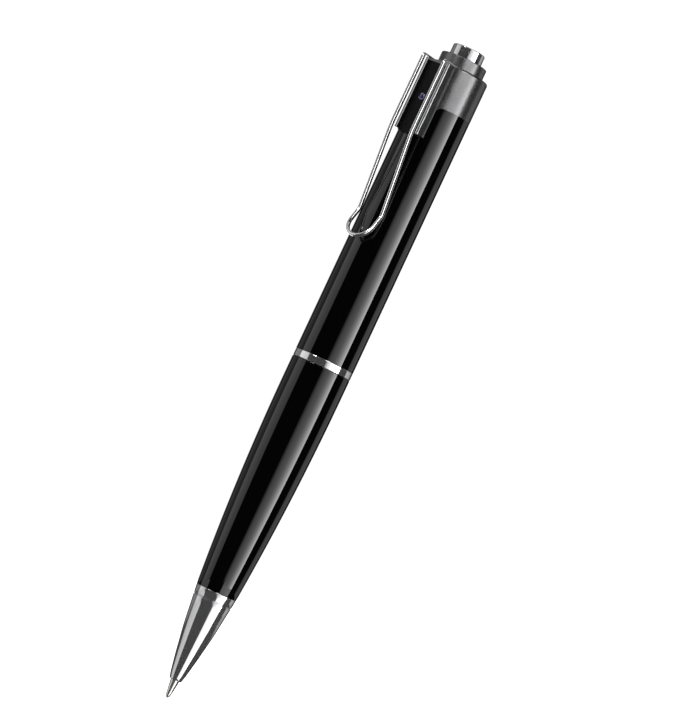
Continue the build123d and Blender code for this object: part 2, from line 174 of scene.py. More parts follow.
class Look(Nodes):
    """One material, with the nodes that make it."""

    def __init__(self, name: str) -> None:
        """Starts an empty material of that name."""
        self.material = bpy.data.materials.new(name)
        self.material.use_nodes = True
        super().__init__(self.material.node_tree)
        self.place = self.node("ShaderNodeTexCoord").outputs["Object"]

    def axes(self) -> tuple[Value, Value, Value]:
        """The place on the object along X, Y and Z, in metres."""
        split = self.node("ShaderNodeSeparateXYZ", inputs={0: self.place})
        return tuple(Value(self, split.outputs[i]) for i in range(3))

    def stretched(self, scale: Colour) -> bpy.types.NodeSocket:
        """The place on the object, scaled along each axis."""
        mapping = self.node("ShaderNodeMapping", {"vector_type": "POINT"},
                            {"Vector": self.place, "Scale": scale})
        return mapping.outputs[0]

    def clouds(self, scale: float, detail: float = 2.0, stretch: Colour = (1.0, 1.0, 1.0)) -> Value:
        """Soft noise between 0 and 1.

        Args:
            scale: features to the metre.
            detail: octaves.
            stretch: how much finer the noise is along each axis.

        Returns:
            The noise.
        """
        noise = self.node("ShaderNodeTexNoise", {"noise_dimensions": "3D"},
                          {"Vector": self.stretched(stretch), "Scale": scale, "Detail": detail,
                           "Roughness": 0.55})
        return Value(self, noise.outputs[0])

    def cells(self, scale: float, stretch: Colour = (1.0, 1.0, 1.0)) -> Value:
        """Distance from the nearest of many scattered points."""
        grain = self.node("ShaderNodeTexVoronoi", {"feature": "F1"},
                          {"Vector": self.stretched(stretch), "Scale": scale})
        return Value(self, grain.outputs["Distance"])

    def ramp(self, value: Value, low: float, high: float, start: float = 0.0, end: float = 1.0) -> Value:
        """Carries value from low..high over to start..end, smoothly and without overshoot."""
        node = self.node("ShaderNodeMapRange", {"interpolation_type": "SMOOTHSTEP", "clamp": True},
                         {0: value, 1: low, 2: high, 3: start, 4: end})
        return Value(self, node.outputs[0])

    def blend(self, share: Input, first: Input, second: Input) -> bpy.types.NodeSocket:
        """Mixes two colours."""
        node = self.node("ShaderNodeMix", {"data_type": "RGBA", "clamp_factor": True},
                         {0: share, 6: first, 7: second})
        return node.outputs[2]

    def bump(self, height: Value, depth: float, strength: float = 1.0) -> bpy.types.NodeSocket:
        """A normal tilted by a height map of the given depth in metres."""
        node = self.node("ShaderNodeBump",
                         inputs={"Height": height, "Distance": depth, "Strength": strength})
        return node.outputs[0]

    def finish(self, shader: bpy.types.Node) -> bpy.types.Material:
        """Ends the material with that shader.

        Args:
            shader: the node whose first output is the surface.

        Returns:
            The material.
        """
        self.node("ShaderNodeOutputMaterial", inputs={"Surface": shader.outputs[0]})
        return self.material


# --------------------------------------------------------------------------- finishes


class Grain(Enum):
    """How the surface of a finish varies."""

    LACQUER = "lacquer"
    POLISHED = "polished"
    TURNED = "turned"
    SATIN = "satin"
    MOULDED = "moulded"
    LAMINATE = "laminate"
    FOIL = "foil"
    FOAM = "foam"
    LIQUID = "liquid"


@dataclass(frozen=True)
class Finish:
    """An opaque finish: its colour, gloss and grain."""

    slot: str
    colour: Colour
    roughness: float
    metallic: float
    grain: Grain
    coat: float = 0.0
    ior: float = 1.5
    second: Colour | None = None

    def make(self) -> bpy.types.Material:
        """Builds the material of this finish."""
        look = Look(self.slot)
        painters: dict[Grain, Callable[[Look], dict[str, Input]]] = {
            Grain.LACQUER: self._lacquer, Grain.POLISHED: self._polished, Grain.TURNED: self._turned,
            Grain.SATIN: self._satin, Grain.MOULDED: self._moulded, Grain.LAMINATE: self._laminate,
            Grain.FOIL: self._foil, Grain.FOAM: self._foam, Grain.LIQUID: self._liquid}
        sockets: dict[str, Input] = {"Metallic": self.metallic, "Coat Weight": self.coat,
                                     "Coat Roughness": 0.03, "IOR": self.ior}
        sockets.update(painters[self.grain](look))
        return look.finish(look.node("ShaderNodeBsdfPrincipled", inputs=sockets))

    def _shade(self, factor: float) -> Colour:
        """This finish's colour, made lighter or darker."""
        return tuple(min(1.0, channel * factor) for channel in self.colour)

    def _lacquer(self, look: Look) -> dict[str, Input]:
        """Sprayed gloss lacquer: a trace of peel, faint haze and a few specks of dust."""
        haze = look.clouds(90.0, 3.0)
        peel = look.clouds(1500.0, 1.0, (1.0, 1.0, 0.7))
        dust = look.ramp(look.cells(420.0), 0.018, 0.03, 1.0, 0.0)
        return {"Base Color": look.blend(haze * 0.5 + dust * 0.3, self.colour, self._shade(2.2)),
                "Roughness": self.roughness + haze * 0.02 + dust * 0.03,
                "Normal": look.bump(peel, 0.0000012, 0.25)}

    def _polished(self, look: Look) -> dict[str, Input]:
        """Mirror plating: hairline swirls, finger haze, a little darker in patches."""
        haze = look.clouds(160.0, 3.0)
        hair = look.clouds(5200.0, 2.0, (0.12, 0.12, 1.0))
        return {"Base Color": look.blend(haze, self._shade(0.92), self._shade(1.06)),
                "Roughness": self.roughness + haze * 0.04 + hair * 0.03,
                "Normal": look.bump(hair, 0.0000006, 0.3)}

    def _turned(self, look: Look) -> dict[str, Input]:
        """Metal as it left the lathe: fine even rings along the axis."""
        _, _, z = look.axes()
        rings = (z * 52000.0).sine() * 0.5 + 0.5
        drift = look.clouds(420.0, 2.0, (0.15, 0.15, 1.0))
        return {"Base Color": look.blend(drift, self._shade(0.84), self._shade(1.1)),
                "Roughness": self.roughness + drift * 0.12,
                "Normal": look.bump(rings * 0.4 + drift, 0.000002, 0.4)}

    def _satin(self, look: Look) -> dict[str, Input]:
        """Bead-blasted and plated metal: a fine sparkle with soft cloudiness."""
        sparkle = look.clouds(14000.0, 2.0)
        cloud = look.clouds(140.0, 2.0)
        return {"Base Color": look.blend(cloud * 0.6 + sparkle * 0.4, self._shade(0.86), self._shade(1.14)),
                "Roughness": self.roughness + (sparkle - 0.5) * 0.1 + (cloud - 0.5) * 0.06,
                "Normal": look.bump(sparkle, 0.0000025, 0.35)}

    def _moulded(self, look: Look) -> dict[str, Input]:
        """Moulded plastic or rubber: a fine pebble and slow changes of gloss."""
        pebble = look.cells(5200.0)
        flow = look.clouds(260.0, 2.0)
        return {"Base Color": look.blend(flow, self._shade(0.85), self._shade(1.2)),
                "Roughness": self.roughness + (flow - 0.5) * 0.12 + (pebble - 0.4) * 0.08,
                "Normal": look.bump(pebble, 0.000006, 0.5)}

    def _laminate(self, look: Look) -> dict[str, Input]:
        """Circuit board: solder mask over copper tracks, with round plated pads."""
        x, _, z = look.axes()
        wander = look.clouds(170.0, 1.0)
        lanes = ((x + wander * 0.0016) * 1500.0).fraction()
        track = look.ramp((lanes - 0.5).size(), 0.14, 0.18, 1.0, 0.0)
        broken = look.ramp(look.clouds(240.0, 1.0, (1.0, 1.0, 0.35)), 0.42, 0.46)
        track = track * broken
        pad = look.ramp(look.cells(430.0), 0.12, 0.14, 1.0, 0.0)
        mask = look.blend(track * 0.7, self.colour, self.second)
        weave = ((z * 9000.0).sine() * (x * 9000.0).sine())
        return {"Base Color": look.blend(pad, mask, (0.72, 0.6, 0.32)), "Metallic": pad * 0.9,
                "Roughness": self.roughness + weave * 0.03 + pad * 0.05,
                "Normal": look.bump(track + pad * 0.6, 0.00002, 0.5)}

    def _foil(self, look: Look) -> dict[str, Input]:
        """Pouch foil: pressed dimples and long soft creases."""
        crease = look.clouds(380.0, 4.0, (1.0, 1.0, 0.4))
        dimple = look.cells(2600.0)
        return {"Base Color": look.blend(crease, self._shade(0.8), self._shade(1.1)),
                "Roughness": self.roughness + crease * 0.16,
                "Normal": look.bump(crease * 1.2 + dimple * 0.3, 0.00006, 0.5)}

    def _foam(self, look: Look) -> dict[str, Input]:
        """Open foam: dark cells with lighter walls, the cells' hollows painted darker as shade."""
        cell_depth_and_shade = look.cells(3000.0)
        # Painted shade: the colour darkens towards the middle of each cell, where the bump sinks.
        return {"Base Color": look.blend(look.ramp(cell_depth_and_shade, 0.2, 0.6), self._shade(0.5), self._shade(1.8)),
                "Roughness": self.roughness, "Normal": look.bump(cell_depth_and_shade, 0.0001, 0.8)}

    def _liquid(self, look: Look) -> dict[str, Input]:
        """Ink or gel in its tube: still, with slow streaks of tone."""
        streak = look.clouds(500.0, 2.0, (1.0, 1.0, 0.2))
        return {"Base Color": look.blend(streak, self._shade(0.8), self._shade(1.5)),
                "Roughness": self.roughness + streak * 0.05}


@dataclass(frozen=True)
class Glass:
    """A clear finish whose colour changes from the middle of the lens outwards, with the coating's
    reflection painted in as a ring of the rim tint and a faint petal inside.
    """

    slot: str
    middle: Colour
    # tint of the coating's painted reflection, laid as a ring near the lens's edge
    painted_reflection_rim: Colour
    through: float
    radius: float
    lens_z: float
    ior: float = 1.5

    def make(self) -> bpy.types.Material:
        """Builds the material of this glass."""
        look = Look(self.slot)
        x, _, z = look.axes()
        off = z - self.lens_z
        from_axis = (x * x + off * off) ** 0.5
        # Painted reflection: a petal-shaped patch inside and a ring near the edge take the rim tint,
        # standing in for the coating's coloured reflection.
        painted_reflection_petal = look.ramp(((off.angle_to(x) * 2.0 + 0.9).sine() * 0.5 + 0.5), 0.55, 0.8)
        ring = look.ramp(from_axis, self.radius * 0.62, self.radius * 0.74) * look.ramp(
            from_axis, self.radius * 0.84, self.radius * 0.96, 1.0, 0.35)
        inner = look.ramp(from_axis, self.radius * 0.2, self.radius * 0.5) * painted_reflection_petal
        coat = look.blend(ring + inner * 0.12, self.middle, self.painted_reflection_rim)
        wipe = look.clouds(1800.0, 2.0)
        return look.finish(look.node("ShaderNodeBsdfPrincipled", inputs={
            "Base Color": coat, "Roughness": 0.03 + wipe * 0.03, "IOR": self.ior,
            "Transmission Weight": self.through}))


class Wardrobe:
    """Every finish of the pen, each made once."""

    def __init__(self) -> None:
        """Lists the finishes."""
        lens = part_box("lens_glass")
        lens_z = (lens[0].z + lens[1].z) / 2
        lens_r = (lens[1].x - lens[0].x) / 2
        made = [
            Finish("black_lacquer", (0.0003, 0.0003, 0.00035), 0.03, 0.0, Grain.LACQUER, ior=1.54),
            Finish("gunmetal", (0.13, 0.13, 0.132), 0.27, 0.94, Grain.SATIN),
            Finish("dark_chrome", (0.55, 0.55, 0.56), 0.06, 0.93, Grain.POLISHED),
            Finish("bright_chrome", (0.68, 0.68, 0.69), 0.05, 0.95, Grain.POLISHED),
            Finish("camera_black", (0.0015, 0.0015, 0.0016), 0.3, 0.0, Grain.MOULDED, ior=1.18),
            Finish("bezel_black", (0.002, 0.002, 0.0025), 0.22, 0.0, Grain.MOULDED),
            Finish("anodised", (0.05, 0.05, 0.055), 0.35, 0.9, Grain.TURNED),
            Finish("steel", (0.62, 0.62, 0.62), 0.22, 1.0, Grain.TURNED),
            Finish("nickel", (0.6, 0.59, 0.57), 0.09, 0.9, Grain.POLISHED),
            Finish("brass", (0.72, 0.5, 0.22), 0.26, 1.0, Grain.TURNED),
            Finish("ink", (0.006, 0.01, 0.06), 0.08, 0.0, Grain.LIQUID, coat=0.6),
            Finish("grease", (0.7, 0.6, 0.36), 0.2, 0.0, Grain.LIQUID, coat=0.4),
            Finish("white_plastic", (0.72, 0.72, 0.69), 0.42, 0.0, Grain.MOULDED),
            Finish("black_plastic", (0.02, 0.02, 0.021), 0.48, 0.0, Grain.MOULDED),
            Finish("board", (0.012, 0.11, 0.045), 0.25, 0.0, Grain.LAMINATE, coat=0.5,
                   second=(0.03, 0.24, 0.1)),
            Finish("chip_black", (0.016, 0.016, 0.018), 0.55, 0.0, Grain.MOULDED),
            Finish("foil", (0.66, 0.67, 0.69), 0.26, 1.0, Grain.FOIL),
            Finish("foam", (0.04, 0.04, 0.042), 0.95, 0.0, Grain.FOAM),
            Finish("polyimide", (0.42, 0.16, 0.02), 0.22, 0.0, Grain.LIQUID, coat=0.7),
            Finish("rubber_black", (0.012, 0.012, 0.012), 0.55, 0.0, Grain.MOULDED),
            Finish("lamp", (0.82, 0.8, 0.66), 0.2, 0.0, Grain.LIQUID, coat=0.5),
            Finish("silicon", (0.09, 0.07, 0.16), 0.06, 0.9, Grain.POLISHED, coat=0.8),
            # The violet second tint is the coating's reflection, painted as a ring round the lens.
            Glass("coated_glass", (0.0015, 0.001, 0.006), (0.085, 0.06, 0.26), 0.0, lens_r, lens_z, 1.4),
            Glass("clear_glass", (0.9, 0.93, 0.92), (0.8, 0.85, 0.9), 1.0, lens_r * 2, lens_z),
            Glass("filter_glass", (0.2, 0.45, 0.4), (0.3, 0.55, 0.5), 0.9, lens_r * 2, lens_z),
        ]
        self._finishes: dict[str, Finish | Glass] = {finish.slot: finish for finish in made}
        self._materials: dict[str, bpy.types.Material] = {}

    def material(self, slot: str) -> bpy.types.Material:
        """The material of a slot, made when it is first asked for."""
        if slot not in self._materials:
            self._materials[slot] = self._finishes[slot].make()
        return self._materials[slot]


# --------------------------------------------------------------------------- mesh making


@dataclass(frozen=True)
class Corner:
    """A corner of an outline, with how far its rounding reaches along each side."""

    u: float
    v: float
    soft: float = 0.0


class Join(Enum):
    """How two forms are combined."""

    CUT = "DIFFERENCE"
    ADD = "UNION"
    COMMON = "INTERSECT"


def place_mesh(mesh: bmesh.types.BMesh, name: str) -> bpy.types.Object:
    """Makes an object of a mesh and puts it in the scene, at the origin."""
    data = bpy.data.meshes.new(name)
    mesh.to_mesh(data)
    thing = bpy.data.objects.new(name, data)
    bpy.context.scene.collection.objects.link(thing)
    return thing


class Form:
    """A closed mesh being made, in millimetres."""

    def __init__(self) -> None:
        """Starts empty."""
        self.mesh = bmesh.new()

    @staticmethod
    def _outline(mesh: bmesh.types.BMesh, corners: Sequence[Corner],
                 place: Callable[[float, float], Point3], segments: int) -> bmesh.types.BMFace:
        """Draws an outline as one face and rounds its corners.

        Args:
            mesh: the mesh to draw in.
            corners: the outline's corners in order.
            place: turns a corner's two numbers into a point in space.
            segments: steps of each rounding.

        Returns:
            The face.
        """
        points = [mesh.verts.new(place(corner.u, corner.v)) for corner in corners]
        mesh.faces.new(points)
        groups: dict[float, list[bmesh.types.BMVert]] = {}
        for point, corner in zip(points, corners):
            if corner.soft > 0:
                groups.setdefault(corner.soft, []).append(point)
        for soft, group in groups.items():
            bmesh.ops.bevel(mesh, geom=group, offset=soft, offset_type="OFFSET", segments=segments,
                            profile=0.5, affect="VERTICES", clamp_overlap=True, material=-1)
        return mesh.faces[:][0]

    @classmethod
    def turned(cls, corners: Sequence[Corner], steps: int = ROUND, segments: int = 4) -> "Form":
        """Turns an outline of (radius, height) corners round the pen's axis.

        Args:
            corners: the outline, closed, drawn on one side of the axis.
            steps: facets round the axis.
            segments: steps of each rounding.

        Returns:
            The turned form.
        """
        form = cls()
        face = cls._outline(form.mesh, corners, lambda u, v: (u, 0.0, v), segments)
        bmesh.ops.delete(form.mesh, geom=[face], context="FACES_ONLY")
        on_axis = [edge for edge in form.mesh.edges if all(abs(v.co.x) < 1e-6 for v in edge.verts)]
        bmesh.ops.delete(form.mesh, geom=on_axis, context="EDGES")
        bmesh.ops.spin(form.mesh, geom=form.mesh.verts[:] + form.mesh.edges[:], cent=(0, 0, 0),
                       axis=(0, 0, 1), angle=math.tau, steps=steps, use_merge=True)
        form.clean()
        return form

    @classmethod
    def prism(cls, corners: Sequence[Corner], axis: str, low: float, high: float,
              segments: int = 6) -> "Form":
        """Extrudes an outline along an axis.

        Args:
            corners: the outline, on the other two axes in their usual order.
            axis: "X", "Y" or "Z".
            low: where the form starts along the axis.
            high: where it ends.
            segments: steps of each rounding.

        Returns:
            The form.
        """
        form = cls()
        places = {"X": lambda u, v: (low, u, v), "Y": lambda u, v: (u, low, v),
                  "Z": lambda u, v: (u, v, low)}
        face = cls._outline(form.mesh, corners, places[axis], segments)
        grown = bmesh.ops.extrude_face_region(form.mesh, geom=[face])
        moved = [item for item in grown["geom"] if isinstance(item, bmesh.types.BMVert)]
        way = Vector([high - low if name == axis else 0.0 for name in "XYZ"])
        bmesh.ops.translate(form.mesh, verts=moved, vec=way)
        form.clean()
        return form

    @classmethod
    def block(cls, low: Point3, high: Point3) -> "Form":
        """A box between two corners."""
        form = cls()
        bmesh.ops.create_cube(form.mesh, size=1.0)
        size = [b - a for a, b in zip(low, high)]
        bmesh.ops.scale(form.mesh, verts=form.mesh.verts[:], vec=size)
        middle = [(a + b) / 2 for a, b in zip(low, high)]
        bmesh.ops.translate(form.mesh, verts=form.mesh.verts[:], vec=middle)
        return form

    def clean(self) -> None:
        """Merges doubles and turns every face outwards."""
        bmesh.ops.remove_doubles(self.mesh, verts=self.mesh.verts[:], dist=MERGE)
        bmesh.ops.recalc_face_normals(self.mesh, faces=self.mesh.faces[:])

    def face_forward(self, height: float) -> "Form":
        """Lays a form turned about the axis down, so that its top looks out along -Y.

        Args:
            height: where the form's axis lies along Z.

        Returns:
            This form.
        """
        turn = Quaternion((1.0, 0.0, 0.0), math.pi / 2).to_matrix()
        bmesh.ops.rotate(self.mesh, verts=self.mesh.verts[:], cent=(0, 0, 0), matrix=turn)
        bmesh.ops.translate(self.mesh, verts=self.mesh.verts[:], vec=(0, 0, height))
        return self

    def combine(self, other: "Form", join: Join) -> "Form":
        """Cuts, adds or intersects another form.

        Args:
            other: the other form, which is used up.
            join: how the two are combined.

        Returns:
            This form.
        """
        body, tool = place_mesh(self.mesh, "form"), place_mesh(other.mesh, "tool")
        step = body.modifiers.new("join", "BOOLEAN")
        step.operation, step.object, step.solver = join.value, tool, "EXACT"
        graph = bpy.context.evaluated_depsgraph_get()
        data = bpy.data.meshes.new_from_object(body.evaluated_get(graph))
        self.mesh.clear()
        self.mesh.from_mesh(data)
        for thing in (body, tool):
            held = thing.data
            bpy.data.objects.remove(thing)
            bpy.data.meshes.remove(held)
        bpy.data.meshes.remove(data)
        other.mesh.free()
        bmesh.ops.remove_doubles(self.mesh, verts=self.mesh.verts[:], dist=MERGE)
        bmesh.ops.dissolve_degenerate(self.mesh, dist=MERGE, edges=self.mesh.edges[:])
        return self

    def polish_edges(self, width: float, chosen: Callable[[bmesh.types.BMEdge], bool]) -> "Form":
        """Rounds the chosen edges and gives the rounding the second material.

        Args:
            width: how far the rounding reaches.
            chosen: tells whether an edge is one of them.

        Returns:
            This form.
        """
        edges = [edge for edge in self.mesh.edges if chosen(edge)]
        rounding = bmesh.ops.bevel(
            self.mesh, geom=edges, offset=width, offset_type="OFFSET", segments=3, profile=0.5,
            affect="EDGES", clamp_overlap=True, material=-1)
        for face in rounding["faces"]:
            face.material_index = 1
        log.info("polished %d edges", len(edges))
        return self

    def polish_faces(self, chosen: Callable[[Vector], bool]) -> "Form":
        """Gives the second material to the faces whose middles are chosen."""
        for face in self.mesh.faces:
            if chosen(face.calc_center_median()):
                face.material_index = 1
        return self

    def soften_shading(self, sharp_deg: float) -> None:
        """Shades smoothly except across edges sharper than the given angle."""
        self.mesh.normal_update()
        for face in self.mesh.faces:
            face.smooth = True
        for edge in self.mesh.edges:
            edge.smooth = edge.calc_face_angle(0.0) < math.radians(sharp_deg)


@dataclass
class Maker:
    """Turns forms into the pen's pieces."""

    wardrobe: Wardrobe
    bevel_steps: int = 2
    bevel_from_deg: float = 38.0
    count: int = 0

    def emit(self, form: Form, name: str, body: str, slots: Sequence[str],
             replaces: Sequence[str] = (), bevel: float = 0.0,
             sharp_deg: float = 33.0) -> bpy.types.Object:
        """Makes a finished piece.

        Args:
            form: the shape, in millimetres.
            name: the piece's name.
            body: the body that it moves with.
            slots: its materials; the first names the finish of the piece.
            replaces: the plain solids that it stands for.
            bevel: width of a fine bevel on every sharp edge, in millimetres.
            sharp_deg: edges above this angle stay sharp.

        Returns:
            The piece.
        """
        bmesh.ops.scale(form.mesh, verts=form.mesh.verts[:], vec=(MM, MM, MM))
        form.soften_shading(sharp_deg)
        piece = place_mesh(form.mesh, name)
        form.mesh.free()
        for slot in slots:
            piece.data.materials.append(self.wardrobe.material(slot))
        if bevel > 0:
            edge = piece.modifiers.new("edge", "BEVEL")
            edge.width, edge.segments, edge.limit_method = bevel * MM, self.bevel_steps, "ANGLE"
            edge.angle_limit = math.radians(self.bevel_from_deg)
            edge.harden_normals = False
        even = piece.modifiers.new("even", "WEIGHTED_NORMAL")
        even.keep_sharp = True
        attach(piece, body)
        if replaces:
            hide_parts(*replaces)
        self.count += 1
        log.info("made %s: %d faces, moves with %s", name, len(piece.data.polygons), body)
        return piece

    def dress(self, node: str, slot: str) -> None:
        """Gives a plain solid its finish."""
        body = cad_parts[node]
        if not body.material_slots:
            body.data.materials.append(None)
        for place in body.material_slots:
            place.material = self.wardrobe.material(slot)
        log.info("dressed %s in %s", node, slot)


def disc_block(radius: float, low: float, high: float) -> list[Corner]:
    """Outline of a solid cylinder on the axis."""
    return [Corner(0, low), Corner(radius, low), Corner(radius, high), Corner(0, high)]


def dome(edge: float, ball: float, top: float, steps: int, last: int) -> list[Corner]:
    """Points along a round crown, from its middle outwards.

    Args:
        edge: the crown's radius.
        ball: the radius of the ball that it is part of.
        top: the height of its middle.
        steps: steps from the middle to the edge.
        last: how many of the points are given.

    Returns:
        The points as corners.
    """
    return [Corner(edge * i / steps, top - ball + math.sqrt(ball ** 2 - (edge * i / steps) ** 2))
            for i in range(last)]


def span(node: str) -> tuple[Vector, Vector]:
    """A node's lowest and highest corners, in millimetres."""
    low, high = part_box(node)
    return Vector(low) / MM, Vector(high) / MM


# --------------------------------------------------------------------------- sub-assemblies


@dataclass
class WritingHalf:
    """The lower half: barrel, nose cone and the guide of the refill."""

    arc_top_drop: float = 3.2
    arc_steps: int = 24
    band_gap: float = 0.03
    wall: float = 1.0
    socket_depth: float = 11.0
    throat_rise: float = 6.0
    tip_r: float = 1.325
    nose_shape: tuple[Point2, ...] = (
        (0.0, 0.0), (0.035, 0.06), (0.07, 0.118), (0.15, 0.215), (0.225, 0.307), (0.3, 0.392),
        (0.38, 0.472), (0.46, 0.56), (0.535, 0.638), (0.61, 0.706), (0.69, 0.764), (0.79, 0.84),
        (0.89, 0.915), (1.0, 1.0))
    groove_drop: float = 2.0
    groove_share: float = 0.921
    groove_depth: float = 0.13
    groove_floor: float = 0.05
    groove_mouth: float = 0.16
    groove_flare: float = 0.035
    groove_clear: float = 0.5
    spigot_step: float = 0.9
    nose_wall: float = 1.1
    hollow_foot: float = 13.5
    guide_top: float = 12.0
    guide_foot: float = 5.94
    point_top: float = 5.64
    guide_bore: float = 1.205
    point_bore: float = 1.0

    def _barrel(self) -> Form:
        """The lacquered tube: a long even arc that runs out into the parallel part."""
        low, high = span("lower_barrel")
        nose = span("nose_cone")[1]
        radius, foot, mouth = high.x, nose.x, high.z
        arc_top = mouth + self.band_gap - self.arc_top_drop
        reach = arc_top - low.z
        bend = (reach ** 2 + (radius - foot) ** 2) / (2 * (radius - foot))
        outer = []
        for step in range(self.arc_steps + 1):
            z = low.z + reach * step / self.arc_steps
            outer.append(Corner(radius - bend + math.sqrt(bend ** 2 - (arc_top - z) ** 2), z))
        outer[0] = Corner(foot, low.z, 0.04)
        bore = radius - self.wall
        throat = span("refill_guide")[1].x
        inner = [Corner(radius, mouth, 0.12), Corner(bore, mouth, 0.05),
                 Corner(bore, mouth - self.socket_depth, 0.6),
                 Corner(throat, nose.z + self.throat_rise, 0.4), Corner(throat, low.z, 0.03)]
        return Form.turned(outer + inner)

    def _groove(self, radius: float, height: float) -> list[Corner]:
        """The fine groove round the nose, from its lower lip to its upper one."""
        floor = radius - self.groove_depth
        return [Corner(radius, height - self.groove_mouth, 0.04),
                Corner(floor, height - self.groove_floor), Corner(floor, height + self.groove_floor),
                Corner(radius + self.groove_flare, height + self.groove_mouth, 0.04)]

    def _nose(self) -> Form:
        """The polished cone, with its fine groove and the spigot that holds it."""
        low, high = span("nose_cone")
        cone_top = span("lower_barrel")[0].z
        cone = cone_top - low.z
        side = [Corner(self.tip_r + (high.x - self.tip_r) * share, low.z + cone * rise)
                for rise, share in self.nose_shape]
        side[0] = Corner(self.tip_r, low.z, 0.12)
        groove_z = cone_top - self.groove_drop
        groove_r = self.tip_r + (high.x - self.tip_r) * self.groove_share
        top = side.pop()
        side = [corner for corner in side if corner.v < groove_z - self.groove_clear
                or corner.v > groove_z + self.groove_clear]
        side += [*self._groove(groove_r, groove_z), Corner(top.u, top.v, 0.12)]
        spigot = high.x - self.spigot_step
        hollow = spigot - self.nose_wall
        inside = [Corner(spigot, cone_top), Corner(spigot, high.z, 0.15), Corner(hollow, high.z),
                  Corner(hollow, low.z + self.hollow_foot),
                  Corner(self.guide_bore, low.z + self.guide_top),
                  Corner(self.guide_bore, low.z + self.guide_foot),
                  Corner(self.point_bore, low.z + self.point_top),
                  Corner(self.point_bore, low.z, 0.04)]
        return Form.turned(side + inside)

    def build(self, maker: Maker) -> None:
        """Makes the pieces of the lower half."""
        maker.emit(self._barrel(), "barrel_of_the_writing_half", "lower_half", ["black_lacquer"],
                   ["lower_barrel"])
        maker.emit(self._nose(), "polished_nose", "lower_half", ["dark_chrome"], ["nose_cone"])

    def dress(self, maker: Maker) -> None:
        """Gives the plain solids of the lower half their finish."""
        maker.dress("refill_guide", "white_plastic")


@dataclass
class Refill:
    """The refill and its writing ball."""

    seat_r: float = 0.25
    mouth_r: float = 0.42
    waist_r: float = 0.56
    waist_rise: float = 0.5
    shoulder_r: float = 0.975
    shoulder_drop: float = 0.1
    seat_rise: float = 6.0
    seat_slope: float = 0.25
    flange_height: float = 2.0
    stem_r: float = 0.8

    def build(self, maker: Maker) -> None:
        """Makes the point and the ball."""
        low, high = span("refill_point")
        tube = high.x
        out = span("nose_cone")[0].z
        seat = out + self.seat_rise
        back = seat + self.flange_height
        corners = [Corner(self.seat_r, low.z), Corner(self.mouth_r, low.z, 0.05),
                   Corner(self.waist_r, low.z + self.waist_rise, 0.12),
                   Corner(self.shoulder_r, out - self.shoulder_drop, 0.1),
                   Corner(self.shoulder_r, seat - self.seat_slope, 0.05),
                   Corner(tube, seat, 0.05), Corner(tube, back, 0.05), Corner(self.stem_r, back),
                   Corner(self.stem_r, high.z, 0.1), Corner(self.seat_r, high.z)]
        maker.emit(Form.turned(corners, SMALL_ROUND), "point_of_the_refill", "refill", ["nickel"],
                   ["refill_point"])
        ball = Form()
        radius = span("writing_ball")[1].x
        bmesh.ops.create_icosphere(ball.mesh, subdivisions=4, radius=radius)
        bmesh.ops.translate(ball.mesh, verts=ball.mesh.verts[:], vec=(0, 0, radius))
        maker.emit(ball, "ground_ball", "ball", ["steel"], ["writing_ball"])

    def dress(self, maker: Maker) -> None:
        """Gives the tube, the ink and the end cap their finish."""
        for node, slot in (("refill_tube", "brass"), ("ink_column", "ink"), ("ink_follower", "grease"),
                           ("refill_end_cap", "white_plastic")):
            maker.dress(node, slot)


@dataclass
class MiddleJoint:
    """The coupler that the two halves meet on, its seal, the band and the socket."""

    spigot_r: float = 5.5
    bore_r: float = 4.3
    lid: float = 0.8
    seal_steps: int = 20
    seal_round: int = 96
    groove_half: float = 0.42
    groove_play: float = 0.02
    port_play: float = 0.05
    port_soft: float = 0.5

    def _band(self) -> Form:
        """The flush band."""
        low, high = span("mid_band")
        return Form.turned([Corner(self.spigot_r, low.z), Corner(high.x, low.z, 0.12),
                            Corner(high.x, high.z, 0.12), Corner(self.spigot_r, high.z)])

    def _seal(self, radius: float, centre_r: float, centre_z: float) -> Form:
        """The round ring that lies in the coupler's groove."""
        turns = [math.tau * i / self.seal_steps for i in range(self.seal_steps)]
        return Form.turned([Corner(centre_r + radius * math.cos(turn),
                                   centre_z + radius * math.sin(turn)) for turn in turns],
                           self.seal_round)

    def _coupler(self, groove_r: float, groove_z: float) -> Form:
        """The tube with its seal groove, closed by a lid with the window of the socket."""
        foot, head = span("coupler")
        band_top = span("mid_band")[1].z
        lid = foot.z + self.lid
        half, spigot = self.groove_half, self.spigot_r
        tube = [Corner(0, foot.z), Corner(spigot, foot.z, 0.3), Corner(spigot, groove_z - half, 0.04),
                Corner(groove_r, groove_z - half), Corner(groove_r, groove_z + half),
                Corner(spigot, groove_z + half, 0.04), Corner(spigot, band_top),
                Corner(head.x, band_top, 0.05), Corner(head.x, head.z, 0.15),
                Corner(self.bore_r, head.z, 0.1), Corner(self.bore_r, lid), Corner(0, lid)]
        port = span("port_shell")[1]
        x, y, soft = port.x + self.port_play, port.y + self.port_play, self.port_soft
        window = Form.prism([Corner(-x, -y, soft), Corner(x, -y, soft), Corner(x, y, soft),
                             Corner(-x, y, soft)], "Z", foot.z - PAST, lid + 0.4)
        return Form.turned(tube).combine(window, Join.CUT)

    def build(self, maker: Maker) -> None:
        """Makes the band, the seal and the coupler."""
        maker.emit(self._band(), "polished_band", "upper_half", ["bright_chrome"], ["mid_band"])
        low, high = span("seal_ring")
        radius = (high.z - low.z) / 2
        centre_r, centre_z = high.x - radius, (low.z + high.z) / 2
        maker.emit(self._seal(radius, centre_r, centre_z), "rubber_seal", "upper_half",
                   ["rubber_black"], ["seal_ring"], sharp_deg=60)
        groove_r = high.x - 2 * radius - self.groove_play
        maker.emit(self._coupler(groove_r, centre_z), "coupler_tube", "upper_half", ["nickel"],
                   ["coupler"], sharp_deg=28)

    def dress(self, maker: Maker) -> None:
        """Gives the socket its finish."""
        maker.dress("port_shell", "steel")
        maker.dress("port_insulator", "black_plastic")


